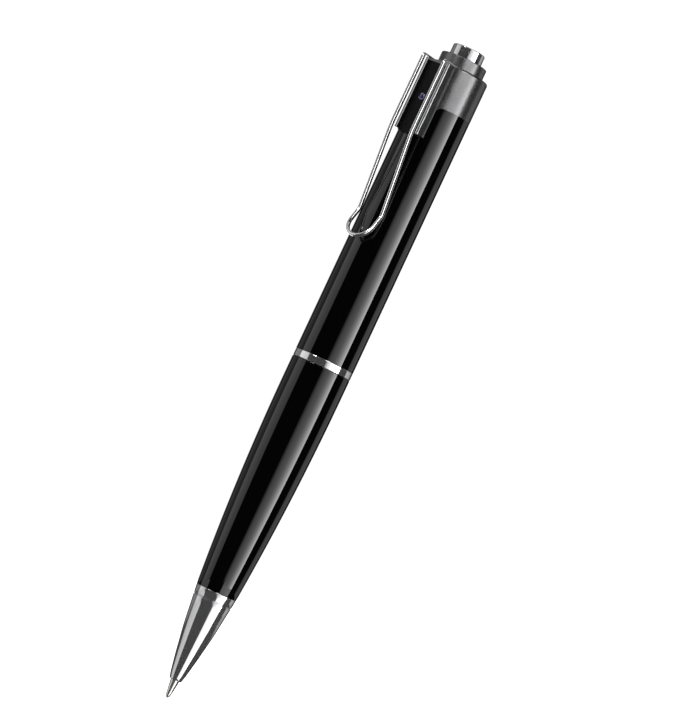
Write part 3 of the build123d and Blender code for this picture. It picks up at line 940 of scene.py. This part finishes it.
@dataclass
class CameraHalf:
    """The upper barrel and the cap with its boss and tongue."""

    wall: float = 0.8
    cap_wall: float = 0.4
    cap_play: float = 0.025
    bow: float = 1.4
    bow_steps: int = 10
    half_boss: float = 3.2
    half_channel: float = 2.6
    cap_height: float = 9.2
    roof: float = 1.2
    collar_step: float = 0.7
    boss_drop: float = 0.5
    channel_drop: float = 0.5
    lip_width: float = 0.12
    lip_step: float = 0.015
    slot_x: float = 2.775
    slot_half: float = 0.275
    slot_length: float = 0.75
    slot_depth: float = 0.95
    leg_x: float = 2.85
    leg_half: float = 0.375
    leg_play: float = 0.05
    reach: float = 12.0
    polished_edge: float = 0.13

    def _edge_z(self) -> float:
        """Height of the cap's lower edge."""
        return span("cap_shell")[1].z - self.cap_height

    def _tongue(self, low: float, high: float) -> list[Corner]:
        """Front outline of the cap: its lower edge, and the tongue with its rounded roots."""
        edge, w, far = self._edge_z(), self.half_boss, self.reach
        return [Corner(-far, high), Corner(-far, edge), Corner(-w, edge, self.bow), Corner(-w, low),
                Corner(w, low), Corner(w, edge, self.bow), Corner(far, edge), Corner(far, high)]

    def _zone(self, low: float, high: float) -> Form:
        """The space that the cap's skin fills."""
        front = Form.prism(self._tongue(low, high), "Y", -self.reach, 0.0, self.bow_steps)
        back = Form.block((-self.reach, -MERGE, self._edge_z()), (self.reach, self.reach, high))
        return front.combine(back, Join.ADD)

    def _barrel(self) -> Form:
        """The lacquered tube, with the seat of the cap and the window of the camera."""
        low, high = span("upper_barrel")
        cap_low, cap_high = span("cap_shell")
        radius = high.x
        neck, bore = radius - self.cap_wall - self.cap_play, radius - self.wall
        edge = self._edge_z()
        form = Form.turned([Corner(bore, low.z, 0.1), Corner(radius, low.z, 0.05),
                            Corner(radius, edge, 0.04), Corner(neck, edge),
                            Corner(neck, high.z, 0.1), Corner(bore, high.z)])
        tongue = Form.prism(self._tongue(cap_low.z, edge + 0.6), "Y", -self.reach, -0.5,
                            self.bow_steps)
        core = Form.turned(disc_block(neck, cap_low.z - PAST, edge + 2 * PAST))
        form.combine(tongue.combine(core, Join.CUT), Join.CUT)
        half = self.half_channel
        window = Form.block((-half, -self.reach, cap_low.z), (half, 0, cap_high.z))
        return form.combine(window, Join.CUT)

    def _boss(self, inner: float) -> Form:
        """The raised boss and tongue, hollow over the barrel, with a fine lip on either side."""
        low, high = span("cap_shell")
        out, w, half = -low.y, self.half_boss, self.half_channel
        lip = half + self.lip_width
        step = -out + self.lip_step
        outline = [Corner(w, 0.0), Corner(w, -out), Corner(lip, -out), Corner(half, step),
                   Corner(-half, step), Corner(-lip, -out), Corner(-w, -out), Corner(-w, 0.0)]
        boss = Form.prism(outline, "Z", low.z, high.z - self.boss_drop)
        core = Form.turned(disc_block(inner, low.z - PAST, high.z))
        return boss.combine(core, Join.CUT)

    def _cap(self) -> Form:
        """The cap: a turned shell, the tongue, and the boss with its polished edges."""
        low, high = span("cap_shell")
        radius = span("upper_barrel")[1].x
        inner = radius - self.cap_wall
        collar = span("collar")[1].x - self.collar_step + self.cap_play
        top, under = high.z, high.z - self.roof
        shell = Form.turned([Corner(inner, low.z), Corner(radius, low.z), Corner(radius, top, 0.5),
                             Corner(collar, top, 0.05), Corner(collar, under),
                             Corner(inner, under)])
        shell.combine(self._zone(low.z, top + PAST), Join.COMMON)
        shell.combine(self._boss(inner), Join.ADD)
        out, w, half = -low.y, self.half_boss, self.half_channel
        boss_top = top - self.boss_drop
        channel_top = boss_top - self.channel_drop
        shell.combine(Form.block((-half, -self.reach, low.z - PAST), (half, 0, channel_top)),
                      Join.CUT)
        clip_y = span("pocket_clip")[1].y
        back = clip_y + self.leg_play
        for side_of in (-1, 1):
            for x, wide, front, floor in (
                    (side_of * self.slot_x, self.slot_half, clip_y - self.slot_length,
                     top - self.slot_depth),
                    (side_of * self.leg_x, self.leg_half, -self.reach, boss_top)):
                shell.combine(Form.block((x - wide, front, floor), (x + wide, back, top + PAST)),
                              Join.CUT)

        def on_outer_edge(edge: bmesh.types.BMEdge) -> bool:
            """Tells whether an edge runs up the boss's outer corners."""
            first, second = edge.verts
            return (abs(first.co.z - second.co.z) > 0.5
                    and all(abs(end.co.y + out) < 0.01 and abs(end.co.x) > w - 0.01
                            for end in (first, second)))

        lip = half + self.lip_width
        shell.polish_edges(self.polished_edge, on_outer_edge)
        return shell.polish_faces(
            lambda centre: centre.y < -out + 0.014 and half < abs(centre.x) < lip - 0.02)

    def build(self, maker: Maker) -> None:
        """Makes the barrel and the cap."""
        maker.emit(self._barrel(), "barrel_of_the_camera_half", "upper_half", ["black_lacquer"],
                   ["upper_barrel"])
        maker.emit(self._cap(), "cap_with_boss", "upper_half", ["gunmetal", "bright_chrome"],
                   ["cap_shell"], bevel=0.045)

    def dress(self, maker: Maker) -> None:
        """Gives the hidden nut its finish."""
        maker.dress("collar_nut", "nickel")


@dataclass
class Camera:
    """The black block in the boss, with the lens and the sensor behind it."""

    face_half: float = 1.45
    shoulder_width: float = 0.17
    shoulder_step: float = 0.2
    side_step: float = 0.5
    back_y: float = 5.8
    root_y: float = 3.2
    root_below: float = 3.5
    root_above: float = 2.9
    foot_play: float = 0.03
    foot_height: float = 0.3
    bore_r: float = 1.6
    bore_from: float = 2.0
    bezel_seat: float = 0.74
    bezel_r: float = 0.875
    mouth_flare: float = 0.12
    glass_r: float = 0.6
    dome_r: float = 1.4
    dome_steps: int = 12

    def _bore(self, out: float) -> Form:
        """The stepped hole of the lens, with its flared mouth."""
        seat, flare = out - self.bezel_seat, self.bezel_r + self.mouth_flare
        return Form.turned([
            Corner(0, self.bore_from), Corner(self.bore_r, self.bore_from),
            Corner(self.bore_r, seat), Corner(self.bezel_r, seat), Corner(self.bezel_r, out - 0.06),
            Corner(flare, out + 0.02), Corner(flare, out + PAST), Corner(0, out + PAST)],
            SMALL_ROUND)

    def _block(self, lens: float) -> Form:
        """The block: a raised centre face between two shoulders, bored for the lens."""
        low, high = span("camera_block")
        out, half, inner, face = -low.y, high.x, self.back_y, self.face_half
        side, shoulder = -out + self.side_step, -out + self.shoulder_step
        outline = [Corner(-half, -inner), Corner(-half, side, 0.08),
                   Corner(-face - self.shoulder_width, shoulder, 0.05), Corner(-face, -out, 0.06),
                   Corner(face, -out, 0.06), Corner(face + self.shoulder_width, shoulder, 0.05),
                   Corner(half, side, 0.08), Corner(half, -inner)]
        form = Form.prism(outline, "Z", low.z, high.z, 3)
        radius = span("upper_barrel")[1].x + self.foot_play
        foot = Form.turned(disc_block(radius, low.z - PAST, low.z + self.foot_height))
        form.combine(foot, Join.CUT)
        root = Form.block((-half, -inner - 0.01, lens - self.root_below),
                          (half, -self.root_y, lens + self.root_above))
        form.combine(root, Join.ADD)
        return form.combine(self._bore(out).face_forward(lens), Join.CUT)

    def _bezel(self) -> Form:
        """The black ring, stepped down to the glass."""
        low, high = span("lens_bezel")
        out, back, r, g = -low.y, -high.y, self.bezel_r, self.glass_r
        return Form.turned([
            Corner(g, back), Corner(r, back), Corner(r, out - 0.05, 0.03), Corner(r - 0.1, out, 0.04),
            Corner(r - 0.16, out, 0.03), Corner(g + 0.07, out - 0.12, 0.02),
            Corner(g + 0.05, out - 0.17, 0.01), Corner(g, out - 0.2, 0.01)], SMALL_ROUND)

    def _bright_ring(self) -> Form:
        """The fine bright ring that lies round the glass."""
        out, g = -span("lens_bezel")[0].y, self.glass_r
        return Form.turned([
            Corner(g + 0.045, out - 0.165), Corner(g + 0.012, out - 0.19),
            Corner(g + 0.012, out - 0.12), Corner(g + 0.045, out - 0.12)], SMALL_ROUND)

    def _glass(self) -> Form:
        """The front glass, domed outwards."""
        low, high = span("lens_glass")
        front, rear = -low.y, -high.y
        curve = dome(self.glass_r, self.dome_r, front, self.dome_steps, self.dome_steps + 1)
        return Form.turned([Corner(0, rear), *curve, Corner(self.glass_r, rear)], SMALL_ROUND)

    def build(self, maker: Maker) -> None:
        """Makes the block, the bezel with its stepped rings, and the domed glass."""
        glass_low, glass_high = span("lens_glass")
        lens = (glass_low.z + glass_high.z) / 2
        maker.emit(self._block(lens), "camera_face", "upper_half", ["camera_black"],
                   ["camera_block"], bevel=0.03)
        for form, name, slot, replaced, sharp_deg in (
                (self._bezel(), "bezel_ring", "bezel_black", ["lens_bezel"], 40),
                (self._bright_ring(), "bright_lens_ring", "bright_chrome", [], 40),
                (self._glass(), "lens_dome", "coated_glass", ["lens_glass"], 50)):
            maker.emit(form.face_forward(lens), name, "upper_half", [slot], replaced,
                       sharp_deg=sharp_deg)

    def dress(self, maker: Maker) -> None:
        """Gives the parts behind the lens their finish."""
        for node, slot in (("lens_barrel", "anodised"), ("rear_lens", "clear_glass"),
                           ("infrared_filter", "filter_glass"), ("image_sensor", "silicon"),
                           ("sensor_ribbon", "polyimide"), ("ribbon_connector", "black_plastic")):
            maker.dress(node, slot)


@dataclass
class RecordButton:
    """The button, its collar and the spring below it."""

    radius: float = 3.6
    crown: float = 0.7
    crown_lift: float = 0.1
    crown_inset: float = 0.12
    crown_steps: int = 14
    flange_gap: float = 0.05
    flange: float = 0.95
    wall: float = 0.8
    pocket_height: float = 3.45
    stem_r: float = 0.9
    collar_play: float = 0.05
    collar_step: float = 0.7

    def _button(self) -> Form:
        """The button: a low dome on a round side, a flange, and a stem in its pocket."""
        low, high = span("record_button")
        radius, edge = self.radius, self.radius - self.crown_inset
        side_top = high.z - self.crown + self.crown_lift
        rise = high.z - side_top
        ball = (edge ** 2 + rise ** 2) / (2 * rise)
        flange_z = span("collar")[0].z - self.flange_gap
        foot, pocket = flange_z - self.flange, flange_z + self.pocket_height
        hollow = radius - self.wall
        return Form.turned([
            Corner(0, low.z), *dome(edge, ball, high.z, self.crown_steps, self.crown_steps),
            Corner(edge, side_top, 0.04), Corner(radius, side_top - 0.15, 0.06),
            Corner(radius, flange_z), Corner(high.x, flange_z, 0.1), Corner(high.x, foot, 0.1),
            Corner(hollow, foot, 0.1), Corner(hollow, pocket, 0.2),
            Corner(self.stem_r, pocket, 0.1), Corner(self.stem_r, low.z, 0.1)], MIDDLE_ROUND)

    def _collar(self) -> Form:
        """The stepped collar that the button slides in."""
        low, high = span("collar")
        seat = span("cap_shell")[1].z
        bore, spigot = self.radius + self.collar_play, high.x - self.collar_step
        return Form.turned([
            Corner(bore, low.z), Corner(spigot, low.z, 0.1), Corner(spigot, seat),
            Corner(high.x, seat, 0.14), Corner(high.x, high.z, 0.22), Corner(bore, high.z, 0.12)],
            MIDDLE_ROUND)

    def build(self, maker: Maker) -> None:
        """Makes the button and the collar."""
        maker.emit(self._button(), "domed_button", "button", ["dark_chrome"], ["record_button"])
        maker.emit(self._collar(), "button_collar", "upper_half", ["gunmetal"], ["collar"])

    def dress(self, maker: Maker) -> None:
        """Gives the spring and the switch their finish."""
        for node, slot in (("button_spring", "steel"), ("switch_board", "board"),
                           ("tactile_switch", "black_plastic"), ("status_lamp", "lamp")):
            maker.dress(node, slot)


@dataclass(frozen=True)
class Station:
    """A place along a wire, with the way through its thickness there."""

    place: Vector
    through: Vector
    thick: float


@dataclass
class PocketClip:
    """The open U of round-edged wire that springs against the barrel."""

    wide: float = 0.65
    thick: float = 1.0
    edge: float = 0.3
    half_top: float = 2.85
    half_low: float = 3.1
    out: float = 9.6
    kink_out: float = 7.0
    bow: float = 6.1
    leg_thick: float = 0.4
    top_bend: float = 0.62
    bend: float = 1.4
    kink_bend: float = 0.5
    end_inset: float = 0.3
    bend_steps: int = 6
    bow_steps: int = 40
    thin_reach: float = 2.0
    tab_inset: float = 0.075
    tab_half: float = 0.225
    tab_width: float = 0.7
    tab_drop: float = 0.4
    tab_gap: float = 0.02

    def _side(self) -> list[tuple[Corner, float]]:
        """Middle line of a leg as (distance from the axis, height), with the reach of each bend."""
        low, high = span("pocket_clip")
        leg = high.z - self.leg_thick / 2
        end_out = self.out - self.end_inset
        kink_z = low.z + self.bow
        arc_z = low.z + self.half_low + self.wide / 2
        share = (kink_z - arc_z) / (kink_z - low.z)
        return [(Corner(-high.y, leg), 0.0), (Corner(self.out, leg), self.top_bend),
                (Corner(self.out, span("cap_shell")[0].z), self.bend),
                (Corner(self.kink_out, kink_z), self.kink_bend),
                (Corner(self.kink_out + (end_out - self.kink_out) * share, arc_z), 0.0)]

    def _rounded(self, corners: Sequence[tuple[Corner, float]]) -> list[Point2]:
        """Points along a line whose corners are rounded by the given reach."""
        points: list[Point2] = []
        for index, (corner, reach) in enumerate(corners):
            here = Vector((corner.u, corner.v))
            if reach == 0:
                points.append(tuple(here))
                continue
            before = Vector((corners[index - 1][0].u, corners[index - 1][0].v))
            after = Vector((corners[index + 1][0].u, corners[index + 1][0].v))
            start = here + (before - here).normalized() * reach
            end = here + (after - here).normalized() * reach
            points += [tuple((1 - t) ** 2 * start + 2 * t * (1 - t) * here + t * t * end)
                       for t in (i / self.bend_steps for i in range(self.bend_steps + 1))]
        return points

    def _leg(self) -> list[Station]:
        """Stations of one leg, from its inner end at the top down to the round end."""
        side = self._rounded(self._side())
        cap_foot = span("cap_shell")[0].z
        kink_z = span("pocket_clip")[0].z + self.bow
        leg: list[Station] = []
        for index, (out, z) in enumerate(side):
            before, after = side[max(0, index - 1)], side[min(len(side) - 1, index + 1)]
            along = Vector((0.0, -(after[0] - before[0]), after[1] - before[1])).normalized()
            share = min(1.0, max(0.0, (cap_foot - z) / (cap_foot - kink_z)))
            x = self.half_top + (self.half_low - self.half_top) * share
            thick = self.thick
            if z > side[0][1] - self.thin_reach:
                upright = min(1.0, abs(along.z))
                thick = self.leg_thick + (self.thick - self.leg_thick) * upright
            through = along.cross(Vector((1.0, 0.0, 0.0)))
            leg.append(Station(Vector((x, -out, z)), through, thick))
        return leg

    def _stations(self) -> list[Station]:
        """Stations along the whole wire: a leg, the round end and the other leg."""
        leg = self._leg()
        end, above = leg[-1], leg[-3].place
        slope = Vector((0.0, end.place.y - above.y, end.place.z - above.z)).normalized()
        reach = (end.place.z - span("pocket_clip")[0].z - self.wide / 2) / abs(slope.z)
        bow: list[Station] = []
        for step in range(1, self.bow_steps):
            turn = math.pi * step / self.bow_steps
            level = Vector((self.half_low * math.cos(turn), end.place.y, end.place.z))
            bow.append(Station(level + slope * reach * math.sin(turn), end.through, end.thick))
        mirrored = [Station(Vector((-one.place.x, one.place.y, one.place.z)), one.through, one.thick)
                    for one in reversed(leg)]
        return leg + bow + mirrored

    @staticmethod
    def _section_frame(stations: Sequence[Station], index: int) -> Matrix:
        """Where the wire's section lies at a station: its place, turn and thickness."""
        here = stations[index]
        before = stations[max(0, index - 1)].place
        after = stations[min(len(stations) - 1, index + 1)].place
        along = (after - before).normalized()
        across = here.through.cross(along).normalized()
        turn = Matrix((across, along.cross(across), along)).transposed().to_4x4()
        return Matrix.Translation(here.place) @ turn @ Matrix.Diagonal((1.0, here.thick, 1.0, 1.0))

    def _sweep(self) -> Form:
        """Carries the section of the wire along its stations."""
        form = Form()
        stations = self._stations()
        half = self.wide / 2
        corners = [form.mesh.verts.new((x, y, 0.0))
                   for x, y in ((-half, -0.5), (half, -0.5), (half, 0.5), (-half, 0.5))]
        form.mesh.faces.new(corners)
        bmesh.ops.bevel(form.mesh, geom=corners, offset=self.edge, offset_type="OFFSET",
                        segments=5, profile=0.5, affect="VERTICES", clamp_overlap=True, material=-1)
        ring = form.mesh.edges[:]
        placed = Matrix.Identity(4)
        for index in range(len(stations)):
            target = self._section_frame(stations, index)
            if index:
                grown = bmesh.ops.extrude_edge_only(form.mesh, edges=ring)["geom"]
                ring = [item for item in grown if isinstance(item, bmesh.types.BMEdge)
                        and all(vert in grown for vert in item.verts)]
            points = list({vert for edge in ring for vert in edge.verts})
            bmesh.ops.transform(form.mesh, matrix=target @ placed.inverted(), verts=points)
            placed = target
        bmesh.ops.contextual_create(form.mesh, geom=ring)
        form.clean()
        return form

    def build(self, maker: Maker) -> None:
        """Makes the clip: the wire, and the two tabs that hold it in the cap."""
        high = span("pocket_clip")[1]
        wire = self._sweep()
        top, foot = high.z - self.leg_thick / 2, high.z - self.leg_thick - self.tab_drop
        front, back = high.y - self.tab_width, high.y - self.tab_gap
        for side_of in (-1, 1):
            x = side_of * (self.half_top - self.tab_inset)
            tab = Form.block((x - self.tab_half, front, foot), (x + self.tab_half, back, top))
            wire.combine(tab, Join.ADD)
        maker.emit(wire, "wire_clip", "clip", ["bright_chrome"], ["pocket_clip"], sharp_deg=55)


@dataclass
class Electronics:
    """Everything in the barrel that the camera runs on."""

    slots: dict[str, str] = field(default_factory=lambda: {
        "main_board": "board", "battery": "foil", "foam_pad": "foam", "battery_tab_left": "nickel",
        "battery_tab_right": "nickel", "inner_chassis": "black_plastic", "power_chip": "chip_black",
        "memory_chip": "chip_black", "crystal": "steel", "processor": "chip_black", "microphone": "steel"})

    def dress(self, maker: Maker) -> None:
        """Gives each part its finish."""
        for node, slot in self.slots.items():
            maker.dress(node, slot)


# --------------------------------------------------------------------------- studio


@dataclass(frozen=True)
class LightCard:
    """A tall bright card that stands on an arc round the pen.

    Its light is given at stops of (degrees, light), counted from the camera's side to its right.
    """

    name: str
    stops: tuple[Point2, ...]
    low: float = -0.32
    high: float = 0.5

    def light_at(self, degrees: float) -> float:
        """The card's light at an angle, between its stops."""
        for (start, first), (end, second) in zip(self.stops, self.stops[1:]):
            if degrees <= end:
                return first + (second - first) * max(0.0, degrees - start) / (end - start)
        return self.stops[-1][1]


@dataclass
class Studio:
    """Floor, cards, daylight and camera."""

    azimuth_deg: float = 38.0
    elevation_deg: float = -3.0
    lean_deg: float = 25.04
    lens_mm: float = 200.0
    aim_height: float = 79.1
    aim_right: float = 2.44
    view_height: float = 147.75
    card_distance: float = 0.45
    top_radius: float = 0.3
    top_height: float = 0.62
    top_light: float = 0.8
    top_round: int = 48
    floor_drop: float = 0.06
    floor_radius: float = 6.0
    floor_round: int = 96
    floor_light: float = 1.15
    sensor_mm: float = 36.0
    room_light: float = 0.015
    soft_light: float = 0.7
    backdrop_light: float = 1.1
    cards: tuple[LightCard, ...] = (
        LightCard("main_card", ((7, 0.0), (12, 0.5), (18, 1.0), (35, 1.7), (47, 3.2), (58, 6.0),
                                (68, 9.0)), low=-0.05, high=0.24),
        LightCard("main_low_card", ((17, 0.0), (19, 1.7), (68, 3.0)), high=-0.05),
        LightCard("high_card", ((4, 11.0), (40, 5.0), (48, 0.0)), low=0.24, high=0.38),
        LightCard("left_card", ((-99, 1.1), (-62, 0.75)), low=-0.05),
        LightCard("left_low_card", ((-104, 0.75), (-57, 1.0)), high=-0.05),
        LightCard("left_edge_card", ((-136, 0.28), (-99, 0.18)), low=-0.05),
        LightCard("right_edge_card", ((104, 0.1), (108, 0.62), (118, 0.55), (141, 0.33)),
                  low=-0.05),
        LightCard("back_card", ((165, 0.0), (176, 1.4), (198, 1.4), (210, 0.0))),
        LightCard("glint_card", ((-52, 45.0), (-34, 45.0)), low=0.32, high=0.4),
    )

    def _direction(self, angle_deg: float) -> Vector:
        """The level direction at an angle to the right of the camera's side."""
        turn = math.radians(self.azimuth_deg + angle_deg)
        return Vector((math.sin(turn), -math.cos(turn), 0.0))

    def _hang(self, form: bmesh.types.BMesh, name: str, light: float | None) -> None:
        """Makes a card of the form, which lights the pen and isn't seen itself.

        Args:
            form: its shape.
            name: its name.
            light: its even light, or None if the form's "light" layer gives it.
        """
        panel = place_mesh(form, name)
        form.free()
        look = Look(name)
        if light is None:
            tint = look.node("ShaderNodeVertexColor", {"layer_name": "light"}).outputs[0]
        else:
            tint = (light,) * 3
        glow = look.node("ShaderNodeEmission", inputs={0: tint, 1: 1.0})
        panel.data.materials.append(look.finish(glow))
        panel.visible_camera = False
        panel.visible_shadow = False
        panel.visible_diffuse = False
        panel.visible_transmission = False

    def _card(self, card: LightCard) -> None:
        """Stands one card up: part of a tall cylinder round the pen."""
        form = bmesh.new()
        first, last = card.stops[0][0], card.stops[-1][0]
        start = self._direction(first) * self.card_distance
        ends = [form.verts.new(start + Vector((0.0, 0.0, z))) for z in (card.low, card.high)]
        edge = form.edges.new(ends)
        bmesh.ops.spin(form, geom=[*edge.verts, edge], cent=(0, 0, 0), axis=(0, 0, 1),
                       angle=math.radians(last - first), steps=round(last - first), use_merge=False)
        layer = form.loops.layers.float_color.new("light")
        origin = math.atan2(start.y, start.x)
        for face in form.faces:
            for loop in face.loops:
                turn = math.degrees(math.atan2(loop.vert.co.y, loop.vert.co.x) - origin)
                light = card.light_at(first + (turn + 1.0) % 360.0 - 1.0)
                loop[layer] = (light, light, light, 1.0)
        self._hang(form, card.name, None)

    def _top(self) -> None:
        """Hangs a round card over the pen, which draws the fine lines on its upper edges."""
        form = bmesh.new()
        bmesh.ops.create_circle(form, cap_ends=True, segments=self.top_round,
                                radius=self.top_radius)
        bmesh.ops.translate(form, verts=form.verts[:], vec=(0, 0, self.top_height))
        self._hang(form, "top_card", self.top_light)

    def _floor(self) -> None:
        """A pale round floor, below the pen."""
        form = bmesh.new()
        bmesh.ops.create_circle(form, cap_ends=True, segments=self.floor_round,
                                radius=self.floor_radius)
        bmesh.ops.translate(form, verts=form.verts[:], vec=(0, 0, -self.floor_drop))
        floor = place_mesh(form, "floor")
        form.free()
        look = Look("floor_white")
        floor.data.materials.append(look.finish(look.node("ShaderNodeBsdfPrincipled", inputs={
            "Base Color": (0.9, 0.9, 0.9), "Roughness": 1.0, "Emission Color": WHITE,
            "Emission Strength": self.floor_light, "Specular IOR Level": 0.0})))
        floor.visible_glossy = False

    def _daylight(self) -> None:
        """White behind the pen, an even soft light on its dull parts, a dark room in its reflections."""
        world = bpy.data.worlds.new("room")
        bpy.context.scene.world = world
        world.use_nodes = True
        nodes = Nodes(world.node_tree)
        path = nodes.node("ShaderNodeLightPath")
        shader = nodes.node("ShaderNodeBackground", inputs={0: WHITE, 1: self.room_light})
        for ray, strength in (("Is Diffuse Ray", self.soft_light),
                              ("Is Camera Ray", self.backdrop_light)):
            lit = nodes.node("ShaderNodeBackground", inputs={0: WHITE, 1: strength})
            shader = nodes.node("ShaderNodeMixShader", inputs={
                0: path.outputs[ray], 1: shader.outputs[0], 2: lit.outputs[0]})
        nodes.node("ShaderNodeOutputWorld", inputs={0: shader.outputs[0]})

    def _camera(self) -> None:
        """A long lens level with the middle of the pen, turned so that the pen leans."""
        turn, rise = math.radians(self.azimuth_deg), math.radians(self.elevation_deg)
        back = Vector((math.sin(turn) * math.cos(rise), -math.cos(turn) * math.cos(rise),
                       math.sin(rise)))
        right = Vector((math.cos(turn), math.sin(turn), 0.0))
        data = bpy.data.cameras.new("camera")
        data.lens, data.sensor_width = self.lens_mm, self.sensor_mm
        data.clip_start, data.clip_end = 0.01, 20.0
        distance = self.lens_mm * self.view_height * MM / data.sensor_width
        camera = bpy.data.objects.new("camera", data)
        bpy.context.scene.collection.objects.link(camera)
        aim = Vector((0.0, 0.0, self.aim_height * MM)) + right * self.aim_right * MM
        camera.location = aim + back * distance
        camera.rotation_mode = "QUATERNION"
        camera.rotation_quaternion = (-back).to_track_quat("-Z", "Y") @ Quaternion(
            (0.0, 0.0, 1.0), math.radians(self.lean_deg))
        bpy.context.scene.camera = camera

    def build(self) -> None:
        """Sets up the whole studio."""
        self._camera()
        self._floor()
        self._daylight()
        self._top()
        for card in self.cards:
            self._card(card)
        bpy.context.scene.view_settings.view_transform = "Standard"
        log.info("studio ready with %d cards", len(self.cards))


def main() -> None:
    """Builds the pen and the studio round it."""
    logging.basicConfig(level=logging.INFO, format="%(name)s: %(message)s")
    maker = Maker(Wardrobe())
    Studio().build()
    for group in (WritingHalf(), Refill(), MiddleJoint(), CameraHalf(), Camera(), RecordButton()):
        group.build(maker)
        group.dress(maker)
    PocketClip().build(maker)
    Electronics().dress(maker)
    log.info("%d pieces made", maker.count)


if __name__ == "__main__":
    main()
